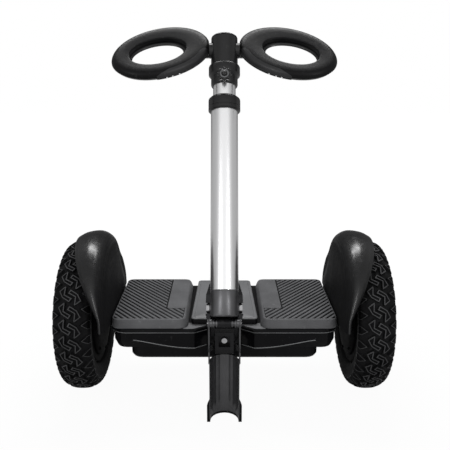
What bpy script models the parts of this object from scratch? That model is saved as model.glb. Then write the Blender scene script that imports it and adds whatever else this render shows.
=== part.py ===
"""Self-balancing scooter with a telescopic steering column, ring handles and a fold-up parking leg.

Metres, +Z up. The floor is z = 0 and the origin lies on it, midway between the wheels. The rider
faces -Y: the column, the parking leg and the lamps are at the front.
"""

import math

import bmesh
import bpy
from mathutils import Matrix, Vector

MM = 0.001
GAP = 0.3 * MM  # clearance between pieces that touch
SIDES = (("left", -1), ("right", 1))

# Driving sizes.
TYRE_RADIUS = 128 * MM
TYRE_HALF_WIDTH = 30 * MM
BODY_HALF_LENGTH = 183.5 * MM
BODY_FRONT_Y = -98.5 * MM
BODY_BACK_Y = 103.5 * MM
TUBE_RADIUS = 22 * MM
WHEEL_GAP = 27 * MM  # from the body's end to the tyre's inner side
AXLE_HEIGHT = TYRE_RADIUS
WHEEL_X = BODY_HALF_LENGTH + WHEEL_GAP + TYRE_HALF_WIDTH

# Wheels and hub motors. Distances along the axle are measured outward from the wheel's middle plane.
TYRE_WALL = 6.5 * MM
WHEEL_STEPS = 28
RIM_SEAT_RADIUS = 79 * MM
RIM_FLANGE = 4.5 * MM
RIM_HALF_WIDTH = 23.5 * MM
MOTOR_BORE_RADIUS = RIM_SEAT_RADIUS - 6.5 * MM
MOTOR_WALL = 3.5 * MM
STATOR_AIR_GAP = 1.2 * MM
STATOR_TEETH = 9
AXLE_RADIUS = 8 * MM
BEARING_OUTER_RADIUS = AXLE_RADIUS + 8 * MM
BEARING_WIDTH = 9 * MM
BEARING_STEPS = 12

# Body. Heights follow the axle.
BODY_CORNER = 26 * MM
BODY_TAPER = 9 * MM
SHELL_TOP = AXLE_HEIGHT + 12 * MM
SHELL_BOTTOM = AXLE_HEIGHT - 22 * MM
SHELL_WALL = 3 * MM
LIP = 3.3 * MM
LENS_INSET = 3.4 * MM  # how far the wall under the lip stands back
BAY_FRONT_HALF_WIDTH = 48 * MM  # the bay in the body's front that the steering yoke swings in
BAY_DEPTH = 14 * MM
BAY_SLANT = 1.5  # the bay's side walls run this far across for each step back
LENS_OUTER_X = BODY_HALF_LENGTH - 34.5 * MM
LENS_OUTER_HEIGHT = AXLE_HEIGHT - 7.5 * MM
LENS_SAG = 14 * MM
PAD_TOP = SHELL_TOP + 15 * MM
PAD_INNER_X = 61.5 * MM
PAD_OUTER_X = BODY_HALF_LENGTH - MM
PAD_FRONT_Y = BODY_FRONT_Y + 4 * MM
PAD_BACK_Y = BODY_BACK_Y - 2.5 * MM
PAD_SLOPE = 5 * MM
CONSOLE_HALF_WIDTH = 54.5 * MM
CONSOLE_FRONT_Y = BODY_FRONT_Y + 20.5 * MM
CONSOLE_BACK_Y = PAD_BACK_Y
CONSOLE_TOP = SHELL_TOP + 9.5 * MM
HOUSING_HALF_LENGTH = BODY_HALF_LENGTH - 30 * MM
HOUSING_HALF_DEPTH = 86 * MM
HOUSING_BOTTOM = AXLE_HEIGHT - 45 * MM
HOUSING_WALL = 2.5 * MM
CHASSIS_HALF_LENGTH = BODY_HALF_LENGTH - 18.5 * MM
CHASSIS_HALF_DEPTH = 72 * MM
CHASSIS_BOTTOM = AXLE_HEIGHT - 20 * MM
CHASSIS_TOP = AXLE_HEIGHT - 2 * MM
CLAMP_WIDTH = 33 * MM
CLAMP_INNER_X = CHASSIS_HALF_LENGTH - CLAMP_WIDTH - 2 * MM
CLAMP_HALF_DEPTH = AXLE_RADIUS + 13 * MM

# Rear face: the tail lamp, the power button and the charging socket.
REAR_FACE_Y = BODY_BACK_Y - 3.5 * MM
TAIL_HALF_WIDTH = 62 * MM
TAIL_HEIGHTS = (AXLE_HEIGHT - 11 * MM, AXLE_HEIGHT + 2 * MM)
CONTROL_HEIGHT = AXLE_HEIGHT - 3.5 * MM
CONTROL_X = 92 * MM
BUTTON_RADIUS = 7 * MM
PORT_RADIUS = 7.5 * MM

# Fenders.
FENDER_RADIUS = TYRE_RADIUS + 16.5 * MM
FENDER_WALL = 3 * MM
FENDER_TIP_ANGLE = math.radians(11)
FENDER_EYE_RADIUS = 26 * MM
FENDER_FOOT_X = BODY_HALF_LENGTH + GAP
FENDER_SHOULDER_X = FENDER_FOOT_X + 4.7 * MM
FENDER_BEND_LOW = AXLE_HEIGHT + 17 * MM
FENDER_BEND_HIGH = AXLE_HEIGHT + 72 * MM
FENDER_TIP_REACH = FENDER_FOOT_X + 2.2 * MM
FENDER_TOP_REACH = WHEEL_X + 7.5 * MM
FENDER_LEAST_WIDTH = 10 * MM
FENDER_STEPS = 17

# Steering: the shaft runs fore and aft, and the column leans from side to side about it.
SHAFT_HEIGHT = AXLE_HEIGHT + MM
SHAFT_RADIUS = 8 * MM
SHAFT_FRONT_Y = BODY_FRONT_Y - 13.5 * MM
SHAFT_BACK_Y = -12 * MM
SHAFT_BEARING_RADIUS = SHAFT_RADIUS + 4.5 * MM
SHAFT_BEARING_WIDTH = 8 * MM
SHAFT_BOSS_WALL = 3 * MM
SHAFT_BOSS_FRONT_Y = BODY_FRONT_Y + 15.5 * MM
SHAFT_BOSS_BACK_Y = SHAFT_BACK_Y - 8 * MM
YOKE_BACK_Y = BODY_FRONT_Y + 12 * MM
YOKE_RECESS_Y = SHAFT_FRONT_Y - 6 * MM
YOKE_HUB_RADIUS = SHAFT_RADIUS + 9 * MM
YOKE_BLOCK_HALF_WIDTH = SHAFT_RADIUS + 6.5 * MM
CROSS_BOLT_Y = 7.7 * MM  # behind the column's axis, clear of the folded leg
CROSS_HEAD_RADIUS = 7 * MM
BOLT_RADIUS = 3 * MM
BOLT_FIT = 0.3 * MM

# Column, measured up its own axis from the foot of the column frame.
COLUMN_FOOT = Vector((0, BODY_FRONT_Y - 29.8 * MM, AXLE_HEIGHT + 37.3 * MM))
COLUMN_LEAN = math.radians(25)
TUBE_WALL = 1.9 * MM
COLUMN_STEPS = 24
BASE_START = 9.5 * MM
BASE_END = 50 * MM
BASE_PLUG = 36 * MM  # how far the base reaches up inside the tube
TUBE_END = 359.5 * MM
BUSH_ROOM = 1.6 * MM  # between the two tubes
INNER_TUBE_RADIUS = TUBE_RADIUS - TUBE_WALL - BUSH_ROOM
INNER_TUBE_WALL = 1.8 * MM
INNER_TUBE_LENGTH = 320 * MM
BUSH_LENGTH = 30 * MM
HEIGHT_TRAVEL = 200 * MM
INNER_TUBE_START = TUBE_END - 9.5 * MM - HEIGHT_TRAVEL - BUSH_LENGTH
INNER_TUBE_END = INNER_TUBE_START + INNER_TUBE_LENGTH
COLLAR_START = TUBE_END - 20 * MM
COLLAR_END = TUBE_END + 4.5 * MM
COLLAR_RADIUS = TUBE_RADIUS + 4 * MM
HEAD_START = INNER_TUBE_END - 56.5 * MM
HEAD_CLAMP_START = HEAD_START + 19 * MM
HEAD_CLAMP_END = HEAD_CLAMP_START + 16.5 * MM
HEAD_END = INNER_TUBE_END + 27 * MM
HEAD_RADIUS = INNER_TUBE_RADIUS + 3.4 * MM
HEAD_CLAMP_RADIUS = HEAD_RADIUS + 3.9 * MM
HANDLE_AXIS_S = HEAD_END - 20 * MM
STUB_RADIUS = 12.5 * MM
STUB_REACH = HEAD_RADIUS + 3.6 * MM
STUD_RADIUS = 3 * MM
KNOB_S = HEAD_START + 8.3 * MM
KNOB_RADIUS = 11.8 * MM
KNOB_DEPTH = 9 * MM
KNOB_LOBES = 8

# Ring handles, in their own tilted plane: X out to the side, Y up and back, Z out of the top face.
RING_TILT = math.radians(42)
RING_CENTRE = (STUB_REACH + 79.2 * MM, -6 * MM)
RING_HALF_LENGTH = 84 * MM
RING_HALF_WIDTH = 56 * MM
RING_SWEEP = math.radians(-23)
HOLE_CENTRE = (RING_CENTRE[0] + 4.8 * MM, RING_CENTRE[1] - 4 * MM)
HOLE_HALF_LENGTH = 47.8 * MM
HOLE_HALF_WIDTH = 28.9 * MM
HOLE_SWEEP = math.radians(-19)
RING_PAD_HEIGHT = 10 * MM
RING_BASE_DEPTH = 6 * MM
RING_STEPS = 28
STRIP_SPAN = (0.62, 0.80)  # the part of the ring's rim that the trim strip covers
STRIP_STEPS = 10

# Parking leg: a half pipe that folds up and wraps the front of the outer tube.
HINGE_FORWARD = 3 * MM  # from the column's axis forward to the hinge pin
PIN_RADIUS = 4 * MM
KNUCKLE_HALF_WIDTH = 10 * MM
LEG_CLEARANCE = 0.4 * MM
LEG_WALL = 1.2 * MM
LEG_FLANGE = 4 * MM  # straight edges beyond the half circle
LEG_HEAD_LENGTH = 62 * MM
LEG_STEPS = 10
CHEEK_THICKNESS = 2.4 * MM
CHEEK_BOSS_RADIUS = PIN_RADIUS + 3.2 * MM
FOOT_HEIGHT = 33 * MM
FOOT_WALL = 3.7 * MM
FOOT_SOLE = 3.5 * MM


def clear_scene():
    """Remove every object of the open scene."""
    for obj in list(bpy.data.objects):
        bpy.data.objects.remove(obj, do_unlink=True)


def material(name, colour, roughness, metallic=0.0):
    """A plain Principled material."""
    made = bpy.data.materials.new(name)
    made.use_nodes = True
    shader = made.node_tree.nodes["Principled BSDF"]
    shader.inputs["Base Color"].default_value = (*colour, 1)
    shader.inputs["Roughness"].default_value = roughness
    shader.inputs["Metallic"].default_value = metallic
    return made


FINISHES = {
    "black_plastic": ((0.012, 0.012, 0.013), 0.38),
    "grey_plastic": ((0.10, 0.10, 0.105), 0.55),
    "pad_rubber": ((0.055, 0.055, 0.058), 0.8),
    "tyre_rubber": ((0.018, 0.018, 0.019), 0.75),
    "soft_grip": ((0.016, 0.016, 0.017), 0.5),
    "smoked_lens": ((0.01, 0.01, 0.014), 0.1),
    "red_lens": ((0.25, 0.01, 0.01), 0.15),
    "silver_tube": ((0.72, 0.72, 0.73), 0.25, 1.0),
    "black_metal": ((0.02, 0.02, 0.021), 0.35, 0.6),
    "cast_metal": ((0.3, 0.3, 0.31), 0.5, 0.9),
    "steel": ((0.55, 0.55, 0.56), 0.3, 1.0),
    "copper": ((0.6, 0.27, 0.12), 0.4, 0.9),
    "circuit": ((0.02, 0.12, 0.05), 0.5),
    "cell_wrap": ((0.03, 0.08, 0.25), 0.5),
    "nylon": ((0.75, 0.75, 0.72), 0.6),
}


def frame_empty(name, place, turn=None, parent=None):
    """An empty that carries pieces: place is its origin and turn its rotation matrix."""
    empty = bpy.data.objects.new(name, None)
    bpy.context.scene.collection.objects.link(empty)
    empty.matrix_world = Matrix.Translation(place) @ (turn or Matrix.Identity(4))
    if parent:
        world = empty.matrix_world.copy()
        empty.parent = parent
        empty.matrix_parent_inverse = parent.matrix_world.inverted()
        empty.matrix_world = world
    bpy.context.view_layer.update()
    return empty


def piece(name, bm, finish, carrier=None, smooth=35):
    """Turn a bmesh into a named object with its own material, carried by an empty."""
    bmesh.ops.remove_doubles(bm, verts=bm.verts, dist=1e-6)
    bmesh.ops.recalc_face_normals(bm, faces=bm.faces)
    mesh = bpy.data.meshes.new(name)
    bm.to_mesh(mesh)
    bm.free()
    mesh.shade_smooth()
    mesh.set_sharp_from_angle(angle=math.radians(smooth))
    obj = bpy.data.objects.new(name, mesh)
    mesh.materials.append(material(name, *FINISHES[finish]))
    bpy.context.scene.collection.objects.link(obj)
    obj.parent = carrier
    return obj


def cutter(name, bm, carrier=None):
    """A hidden helper solid for a Boolean."""
    obj = piece(name, bm, "steel", carrier)
    obj.hide_render = True
    obj.display_type = "WIRE"
    return obj


def boolean(target, other, operation="DIFFERENCE"):
    """Cut other from target, or join it."""
    step = target.modifiers.new(other.name, "BOOLEAN")
    step.operation = operation
    step.object = other


def join(target, *others):
    for other in others:
        boolean(target, other, "UNION")


def cut(target, *others):
    for other in others:
        boolean(target, other)


def rings_solid(rings, closed=False):
    """A solid through rings of equally many points; its ends are capped unless it closes on itself."""
    bm = bmesh.new()
    made = [[bm.verts.new(point) for point in ring] for ring in rings]
    count = len(rings[0])
    pairs = list(zip(made, made[1:]))
    if closed:
        pairs.append((made[-1], made[0]))
    for first, second in pairs:
        for i in range(count):
            j = (i + 1) % count
            bm.faces.new((first[i], first[j], second[j], second[i]))
    if not closed:
        bm.faces.new(made[0][::-1])
        bm.faces.new(made[-1])
    return bm


def on_axis(axis, along, u, v):
    """A point from its distance along an axis and its two other coordinates, in X, Y, Z order."""
    values = {"X": (along, u, v), "Y": (u, along, v), "Z": (u, v, along)}
    return Vector(values[axis])


def prism(outline, axis, start, end):
    """An outline extruded along an axis. The outline's pairs are the other two coordinates in order."""
    return rings_solid([[on_axis(axis, along, u, v) for u, v in outline] for along in (start, end)])


def pipe_prism(outer, inner, axis, start, end):
    """An extruded outline with one window, given as two outlines of equally many points."""
    section = [(start, outer), (end, outer), (end, inner), (start, inner)]
    rings = [[on_axis(axis, along, *outline[i]) for along, outline in section] for i in range(len(outer))]
    return rings_solid(rings, closed=True)


def turned(profile, axis="Z", centre=(0, 0), steps=32, flip=1):
    """A turned solid. The profile's pairs are (distance along the axis, radius), from end to end.

    A profile that starts and ends on the axis gives a full solid. Any other is closed on itself and
    gives a ring. flip is -1 to mirror the piece along its axis.
    """
    bm = bmesh.new()
    full = profile[0][1] == 0 and profile[-1][1] == 0
    rows = []
    for along, radius in profile:
        if radius == 0:
            rows.append([bm.verts.new(on_axis(axis, flip * along, *centre))] * steps)
            continue
        angles = [2 * math.pi * i / steps for i in range(steps)]
        rows.append(
            [
                bm.verts.new(
                    on_axis(
                        axis,
                        flip * along,
                        centre[0] + radius * math.cos(angle),
                        centre[1] + radius * math.sin(angle),
                    )
                )
                for angle in angles
            ]
        )
    pairs = list(zip(rows, rows[1:]))
    if not full:
        pairs.append((rows[-1], rows[0]))
    for first, second in pairs:
        for i in range(steps):
            j = (i + 1) % steps
            corners = list(dict.fromkeys((first[i], first[j], second[j], second[i])))
            if len(corners) > 2:
                bm.faces.new(corners)
    return bm


def cylinder(axis, start, end, radius, centre=(0, 0), steps=32):
    return turned([(start, 0), (start, radius), (end, radius), (end, 0)], axis, centre, steps)


def tube(axis, start, end, outer, inner, centre=(0, 0), steps=32):
    profile = [(start, outer), (end, outer), (end, inner), (start, inner)]
    return turned(profile, axis, centre, steps)


def box(x, y, z):
    """A box from its three pairs of limits."""
    return prism([(x[0], y[0]), (x[1], y[0]), (x[1], y[1]), (x[0], y[1])], "Z", *z)


def rounded_rectangle(low, high, radius, steps=4):
    """Points of a rectangle with round corners, counter-clockwise."""
    corners = [(high[0], high[1], 0), (low[0], high[1], 90), (low[0], low[1], 180), (high[0], low[1], 270)]
    points = []
    for x, y, start in corners:
        cx = x - math.copysign(radius, x - (low[0] + high[0]) / 2)
        cy = y - math.copysign(radius, y - (low[1] + high[1]) / 2)
        for i in range(steps + 1):
            angle = math.radians(start + 90 * i / steps)
            points.append((cx + radius * math.cos(angle), cy + radius * math.sin(angle)))
    return points


def stack(low, high, levels, radius, steps=4):
    """A rounded block whose outline shrinks from level to level: levels are (height, inset) pairs."""
    rings = []
    for height, inset in levels:
        near, far = (low[0] + inset, low[1] + inset), (high[0] - inset, high[1] - inset)
        outline = rounded_rectangle(near, far, max(radius - inset, MM), steps)
        rings.append([Vector((x, y, height)) for x, y in outline])
    return rings_solid(rings)


def arc(radius, start, end, steps, centre=(0, 0)):
    """Points of an arc, in degrees."""
    points = []
    for i in range(steps + 1):
        angle = math.radians(start + (end - start) * i / steps)
        points.append((centre[0] + radius * math.cos(angle), centre[1] + radius * math.sin(angle)))
    return points


def build_wheel(side, sign):
    """A tyre on a hub motor: the shell turns with the tyre, and the stator stays on the axle."""
    carrier = frame_empty(f"wheel_{side}_axis", (sign * WHEEL_X, 0, AXLE_HEIGHT))
    seat = RIM_SEAT_RADIUS + GAP
    half = TYRE_HALF_WIDTH
    bead = RIM_HALF_WIDTH - RIM_FLANGE - GAP
    outer = [
        (-bead + 5 * MM, seat),
        (-bead, seat),
        (-bead, seat + RIM_FLANGE + 0.5 * MM),
        (-half * 0.86, seat + 11 * MM),
        (-half, TYRE_RADIUS - 20.5 * MM),
        (-half * 0.9, TYRE_RADIUS - 9.6 * MM),
        (-half * 0.5, TYRE_RADIUS - 1.9 * MM),
        (0, TYRE_RADIUS),
    ]
    outer += [(-along, radius) for along, radius in outer[-2::-1]]
    inner = [
        (half - TYRE_WALL, TYRE_RADIUS - 4 * TYRE_WALL),
        (half * 0.55, TYRE_RADIUS - 1.5 * TYRE_WALL),
    ]
    inner += [(-along, radius) for along, radius in inner[::-1]]
    tyre = turned(outer + inner, "X", steps=WHEEL_STEPS, flip=sign)
    piece(f"tyre_{side}", tyre, "tyre_rubber", carrier)

    flange = RIM_SEAT_RADIUS + RIM_FLANGE
    rim_edge = RIM_HALF_WIDTH
    bore = MOTOR_BORE_RADIUS
    face = 16 * MM
    shell = [
        (face + 4 * MM, 0),
        (face + 4 * MM, 28 * MM),
        (face, 36 * MM),
        (rim_edge - 3 * MM, bore),
        (rim_edge, flange),
        (rim_edge - RIM_FLANGE, RIM_SEAT_RADIUS),
        (RIM_FLANGE - rim_edge, RIM_SEAT_RADIUS),
        (-rim_edge, flange),
        (-rim_edge, bore),
        (face - MOTOR_WALL, bore),
        (face - MOTOR_WALL, 0),
    ]
    shell = turned(shell, "X", steps=WHEEL_STEPS, flip=sign)
    hub = piece(f"motor_shell_{side}", shell, "black_metal", carrier)

    lip = BEARING_OUTER_RADIUS + GAP
    rim_fit = bore - GAP
    cover = [
        (-rim_edge - 7 * MM, lip),
        (-rim_edge - 7 * MM, rim_fit - 14 * MM),
        (-rim_edge - 3.5 * MM, rim_fit),
        (-rim_edge + 2 * MM, rim_fit),
        (-rim_edge - 2 * MM, rim_fit - 14 * MM),
        (-rim_edge + 3 * MM, lip),
    ]
    cover = turned(cover, "X", steps=WHEEL_STEPS, flip=sign)
    piece(f"motor_cover_{side}", cover, "black_metal", carrier)

    bearing_start = -rim_edge - 6.5 * MM
    bearing = [
        (bearing_start, AXLE_RADIUS + GAP),
        (bearing_start, BEARING_OUTER_RADIUS),
        (bearing_start + BEARING_WIDTH, BEARING_OUTER_RADIUS),
        (bearing_start + BEARING_WIDTH, AXLE_RADIUS + GAP),
    ]
    bearing = turned(bearing, "X", steps=BEARING_STEPS, flip=sign)
    piece(f"motor_bearing_{side}", bearing, "steel", carrier)

    tooth = bore - STATOR_AIR_GAP
    outline = []
    half_tooth = 360 / STATOR_TEETH * 0.36
    for i in range(STATOR_TEETH):
        middle = 360 * i / STATOR_TEETH
        outline += arc(tooth, middle - half_tooth, middle + half_tooth, 1)
        outline += arc(tooth - 8 * MM, middle + half_tooth, middle + 360 / STATOR_TEETH - half_tooth, 1)
    room = (AXLE_RADIUS + GAP) / math.cos(math.radians(half_tooth))
    hole = [Vector(point).normalized() * room for point in outline]
    stator = pipe_prism(outline, hole, "X", sign * (3.5 * MM - rim_edge + 2 * MM), sign * 8 * MM)
    piece(f"stator_{side}", stator, "copper", carrier)

    outer_end = face - MOTOR_WALL - 2 * MM
    axle_end = CLAMP_INNER_X - 8 * MM - WHEEL_X
    axle = [(axle_end, 0), (axle_end, AXLE_RADIUS - MM), (axle_end + MM, AXLE_RADIUS)]
    axle += [(outer_end - MM, AXLE_RADIUS), (outer_end, AXLE_RADIUS - MM), (outer_end, 0)]
    piece(f"axle_{side}", turned(axle, "X", steps=BEARING_STEPS, flip=sign), "steel", carrier)

    reach = bore - 6.5 * MM
    valve = [(face - 1.5 * MM, 0), (face - 1.5 * MM, 2.6 * MM), (face + 7 * MM, 2.2 * MM), (face + 7 * MM, 0)]
    place = (0, reach - 9 * MM)
    piece(f"valve_{side}", turned(valve, "X", place, 12, sign), "steel", carrier)
    pocket = [(0, 0), (0, 2.9 * MM), (face + 9 * MM, 2.9 * MM), (face + 9 * MM, 0)]
    cut(hub, cutter(f"valve_pocket_{side}", turned(pocket, "X", place, 12, sign), carrier))


def fender_reach(angle):
    """How far out the fender's outer edge stands at an angle round the wheel."""
    span = (angle - FENDER_TIP_ANGLE) / (math.pi - 2 * FENDER_TIP_ANGLE)
    return FENDER_TIP_REACH + (FENDER_TOP_REACH - FENDER_TIP_REACH) * math.sin(math.pi * span)


def fender_wall_x(height):
    """How far out the wall beside the foot mats stands: it leans out a little above them."""
    share = min(max((height - FENDER_BEND_LOW) / (FENDER_BEND_HIGH - FENDER_BEND_LOW), 0), 1)
    return FENDER_FOOT_X + (FENDER_SHOULDER_X - FENDER_FOOT_X) * share * share * (3 - 2 * share)


def build_fender(side, sign):
    """A bulbous shell over the inner side and the top of a wheel, lofted round the axle."""
    top = FENDER_RADIUS
    # The roof's section: share of its width out from the wall, and share of the full radius.
    roof = ((0.02, 0.8), (0.09, 0.9), (0.25, 0.965), (0.48, 1), (0.8, 0.985), (1, 0.945))
    rings = []
    for i in range(FENDER_STEPS + 1):
        angle = FENDER_TIP_ANGLE + (math.pi - 2 * FENDER_TIP_ANGLE) * i / FENDER_STEPS
        outer = []
        for radius in (FENDER_EYE_RADIUS, 0.55 * top):
            outer.append((fender_wall_x(AXLE_HEIGHT + radius * math.sin(angle)), radius))
        wall = fender_wall_x(AXLE_HEIGHT + 0.8 * top * math.sin(angle))
        width = max(fender_reach(angle) - wall, FENDER_LEAST_WIDTH)
        outer += [(wall + share * width, radius * top) for share, radius in roof]
        inner = []
        for k, (x, r) in enumerate(outer):
            before, after = outer[max(k - 1, 0)], outer[min(k + 1, len(outer) - 1)]
            along = Vector((after[0] - before[0], after[1] - before[1])).normalized()
            inner.append((x + along.y * FENDER_WALL, r - along.x * FENDER_WALL))
        ring = []
        for x, r in outer + inner[::-1]:
            ring.append(Vector((sign * x, -r * math.cos(angle), AXLE_HEIGHT + r * math.sin(angle))))
        rings.append(ring)
    piece(f"fender_{side}", rings_solid(rings), "black_plastic", smooth=50)


def build_chassis():
    """A cast frame with two windows, an axle block at each end and a boss for the steering shaft."""
    half_x, half_y = CHASSIS_HALF_LENGTH, CHASSIS_HALF_DEPTH
    levels = [(CHASSIS_BOTTOM, 1.5 * MM), (CHASSIS_BOTTOM + 1.5 * MM, 0), (CHASSIS_TOP, 0)]
    frame = stack((-half_x, -half_y), (half_x, half_y), levels, 8 * MM, 2)
    frame = piece("chassis_frame", frame, "cast_metal")
    for side, sign in SIDES:
        inner_x, outer_x = sorted((sign * 30 * MM, sign * (CLAMP_INNER_X - 6 * MM)))
        through = [(CHASSIS_BOTTOM - MM, 0), (CHASSIS_TOP + MM, 0)]
        window = stack((inner_x, -58 * MM), (outer_x, 58 * MM), through, 6 * MM, 2)
        cut(frame, cutter(f"chassis_window_{side}", window))
        clamp_x = sorted((sign * CLAMP_INNER_X, sign * (CLAMP_INNER_X + CLAMP_WIDTH)))
        depth = (-CLAMP_HALF_DEPTH, CLAMP_HALF_DEPTH)
        post = box(clamp_x, depth, (CHASSIS_TOP - MM, AXLE_HEIGHT - GAP / 2))
        join(frame, cutter(f"axle_post_{side}", post))
        reach = sorted((sign * (CLAMP_INNER_X - 10 * MM), sign * (CHASSIS_HALF_LENGTH + MM)))
        bore = cylinder("X", *reach, AXLE_RADIUS + GAP, (0, AXLE_HEIGHT), BEARING_STEPS)
        bore = cutter(f"axle_bore_{side}", bore)
        cut(frame, bore)
        low = (-CLAMP_HALF_DEPTH, AXLE_HEIGHT + GAP / 2)
        high = (CLAMP_HALF_DEPTH, SHELL_TOP - SHELL_WALL - GAP)
        block = prism(rounded_rectangle(low, high, 2 * MM, 2), "X", *clamp_x)
        cut(piece(f"axle_clamp_{side}", block, "steel"), bore)
    centre = (0, SHAFT_HEIGHT)
    boss_radius = SHAFT_BEARING_RADIUS + GAP + SHAFT_BOSS_WALL
    front, back = SHAFT_BOSS_FRONT_Y, SHAFT_BOSS_BACK_Y
    boss = cylinder("Y", front, back, boss_radius, centre, BEARING_STEPS)
    bore = cylinder("Y", front - MM, back + 10 * MM, SHAFT_BEARING_RADIUS + GAP, centre, BEARING_STEPS)
    join(frame, cutter("shaft_boss", boss))
    cut(frame, cutter("shaft_bore", bore))
    return frame


def bay_outline(grown):
    """Plan of the bay in the body's front, with its walls set back into the body by a distance."""
    across = grown * math.hypot(1, BAY_SLANT)
    near, far = BODY_FRONT_Y - MM, BODY_FRONT_Y + BAY_DEPTH + grown
    near_x, far_x = (
        BAY_FRONT_HALF_WIDTH + across - BAY_SLANT * (y - BODY_FRONT_Y) for y in (near, far)
    )
    return [(-near_x, near), (near_x, near), (far_x, far), (-far_x, far)]


def build_body():
    """The shells, lamps, pads and console that cover the chassis, and what they hold."""
    half_x = BODY_HALF_LENGTH
    lip_z = SHELL_TOP - LIP
    low, high = (-half_x, BODY_FRONT_Y), (half_x, BODY_BACK_Y)
    inset, wall = LENS_INSET + 0.2 * MM, SHELL_WALL
    outer_levels = [
        (SHELL_BOTTOM, BODY_TAPER),
        (SHELL_BOTTOM + 12 * MM, inset),
        (lip_z - 2.5 * MM, LENS_INSET),
        (lip_z - 2 * MM, 0),
        (lip_z, 0),
        (SHELL_TOP, 3 * MM),
    ]
    shell = piece("upper_shell", stack(low, high, outer_levels, BODY_CORNER), "black_plastic")
    inner_levels = [
        (SHELL_BOTTOM - MM, BODY_TAPER + wall),
        (SHELL_BOTTOM + 12 * MM, inset + wall),
        (SHELL_TOP - wall, inset + wall),
    ]
    hollow = cutter("shell_hollow", stack(low, high, inner_levels, BODY_CORNER))
    cut(hollow, cutter("bay_walls", prism(bay_outline(inset + wall), "Z", 0, SHELL_TOP + MM)))
    step = lip_z - 2.5 * MM
    bay = cutter("bay_under_lip", prism(bay_outline(LENS_INSET), "Z", SHELL_BOTTOM - MM, step))
    bay_mouth = cutter("bay_mouth", prism(bay_outline(0), "Z", step - GAP, SHELL_TOP + MM))
    window = box(
        (-34 * MM, 34 * MM),
        (CONSOLE_FRONT_Y + 12 * MM, CONSOLE_BACK_Y - 25 * MM),
        (SHELL_TOP - wall - 2 * MM, SHELL_TOP + MM),
    )
    cut(shell, hollow, bay, bay_mouth, cutter("console_window", window))
    boss_radius = SHAFT_BEARING_RADIUS + SHAFT_BOSS_WALL + 3 * GAP
    boss_reach = (SHAFT_BOSS_FRONT_Y - 7 * MM, SHAFT_BOSS_FRONT_Y + 23 * MM)
    boss_room = cylinder("Y", *boss_reach, boss_radius, (0, SHAFT_HEIGHT), 20)
    boss_room = cutter("boss_room", boss_room)
    cut(shell, boss_room)
    slot_half = AXLE_RADIUS + 2.5 * GAP
    slot = arc(slot_half, 180, 0, 6, (0, AXLE_HEIGHT))
    slot += [(slot_half, SHELL_BOTTOM - MM), (-slot_half, SHELL_BOTTOM - MM)]
    cut(shell, cutter("axle_slot", prism(slot, "X", -half_x - MM, half_x + MM)))

    corner = 20 * MM
    low, high = (-HOUSING_HALF_LENGTH, -HOUSING_HALF_DEPTH), (HOUSING_HALF_LENGTH, HOUSING_HALF_DEPTH)
    top = CHASSIS_BOTTOM - GAP
    levels = [(HOUSING_BOTTOM, 7 * MM), (HOUSING_BOTTOM + 2 * MM, 2.5 * MM), (HOUSING_BOTTOM + 6 * MM, 0)]
    housing = piece("lower_housing", stack(low, high, levels + [(top, 0)], corner, 4), "black_plastic")
    floor = HOUSING_BOTTOM + HOUSING_WALL
    hollow = [(floor, 7 * MM), (floor + 4 * MM, HOUSING_WALL), (top + MM, HOUSING_WALL)]
    cut(housing, cutter("housing_hollow", stack(low, high, hollow, corner, 4)))
    room = prism(bay_outline(inset + wall + GAP), "Z", SHELL_BOTTOM - GAP, top + MM)
    cut(housing, cutter("bay_clearance", room))
    boss_x, boss_y = HOUSING_HALF_LENGTH - 33.5 * MM, HOUSING_HALF_DEPTH - 18 * MM
    for x in (-boss_x, boss_x):
        for y in (-boss_y, boss_y):
            boss = cylinder("Z", floor - MM, top, 5 * MM, (x, y), 8)
            join(housing, cutter(f"housing_boss_{x:.2f}_{y:.2f}", boss))

    levels = [(floor + GAP, 0), (top - 1.2 * MM, 0)]
    pack = stack((-93 * MM, -57 * MM), (93 * MM, 57 * MM), levels, 9 * MM)
    piece("battery_pack", pack, "cell_wrap")
    board = box((-116 * MM, -20 * MM), (-50 * MM, 50 * MM), (CHASSIS_TOP + GAP, CHASSIS_TOP + 2 * MM))
    sink = box((-104 * MM, -52 * MM), (-40 * MM, -16 * MM), (CHASSIS_TOP + MM, SHELL_TOP - wall - 2 * MM))
    parts = cutter("board_parts", sink)
    join(piece("control_board", board, "circuit"), parts)

    for side, sign in SIDES:
        pad_x = sorted((sign * PAD_INNER_X, sign * PAD_OUTER_X))
        base = SHELL_TOP + GAP
        levels = [
            (base, 0),
            (base + 4 * MM, 0.2 * MM),
            (PAD_TOP - 2 * MM, PAD_SLOPE - 1.4 * MM),
            (PAD_TOP, PAD_SLOPE + 1.4 * MM),
        ]
        pad = stack((pad_x[0], PAD_FRONT_Y), (pad_x[1], PAD_BACK_Y), levels, 16 * MM, 4)
        piece(f"footpad_{side}", pad, "pad_rubber")
        sensor_x = sorted((sign * 72 * MM, sign * 118 * MM))
        top = SHELL_TOP - wall - GAP
        piece(f"foot_sensor_{side}", box(sensor_x, (-16 * MM, 44 * MM), (top - 2 * MM, top)), "circuit")
        build_front_lens(side, sign)

    console_low = (-CONSOLE_HALF_WIDTH, CONSOLE_FRONT_Y)
    console_high = (CONSOLE_HALF_WIDTH, CONSOLE_BACK_Y)
    base = SHELL_TOP + GAP
    levels = [(base, 0), (CONSOLE_TOP - 2.5 * MM, 0.8 * MM), (CONSOLE_TOP, 3 * MM)]
    console = piece("console_panel", stack(console_low, console_high, levels, 7 * MM, 3), "grey_plastic")
    levels = [(base - MM, 2.6 * MM), (CONSOLE_TOP - 2.4 * MM, 3.6 * MM)]
    cut(console, cutter("console_hollow", stack(console_low, console_high, levels, 7 * MM, 3)), boss_room)

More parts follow.
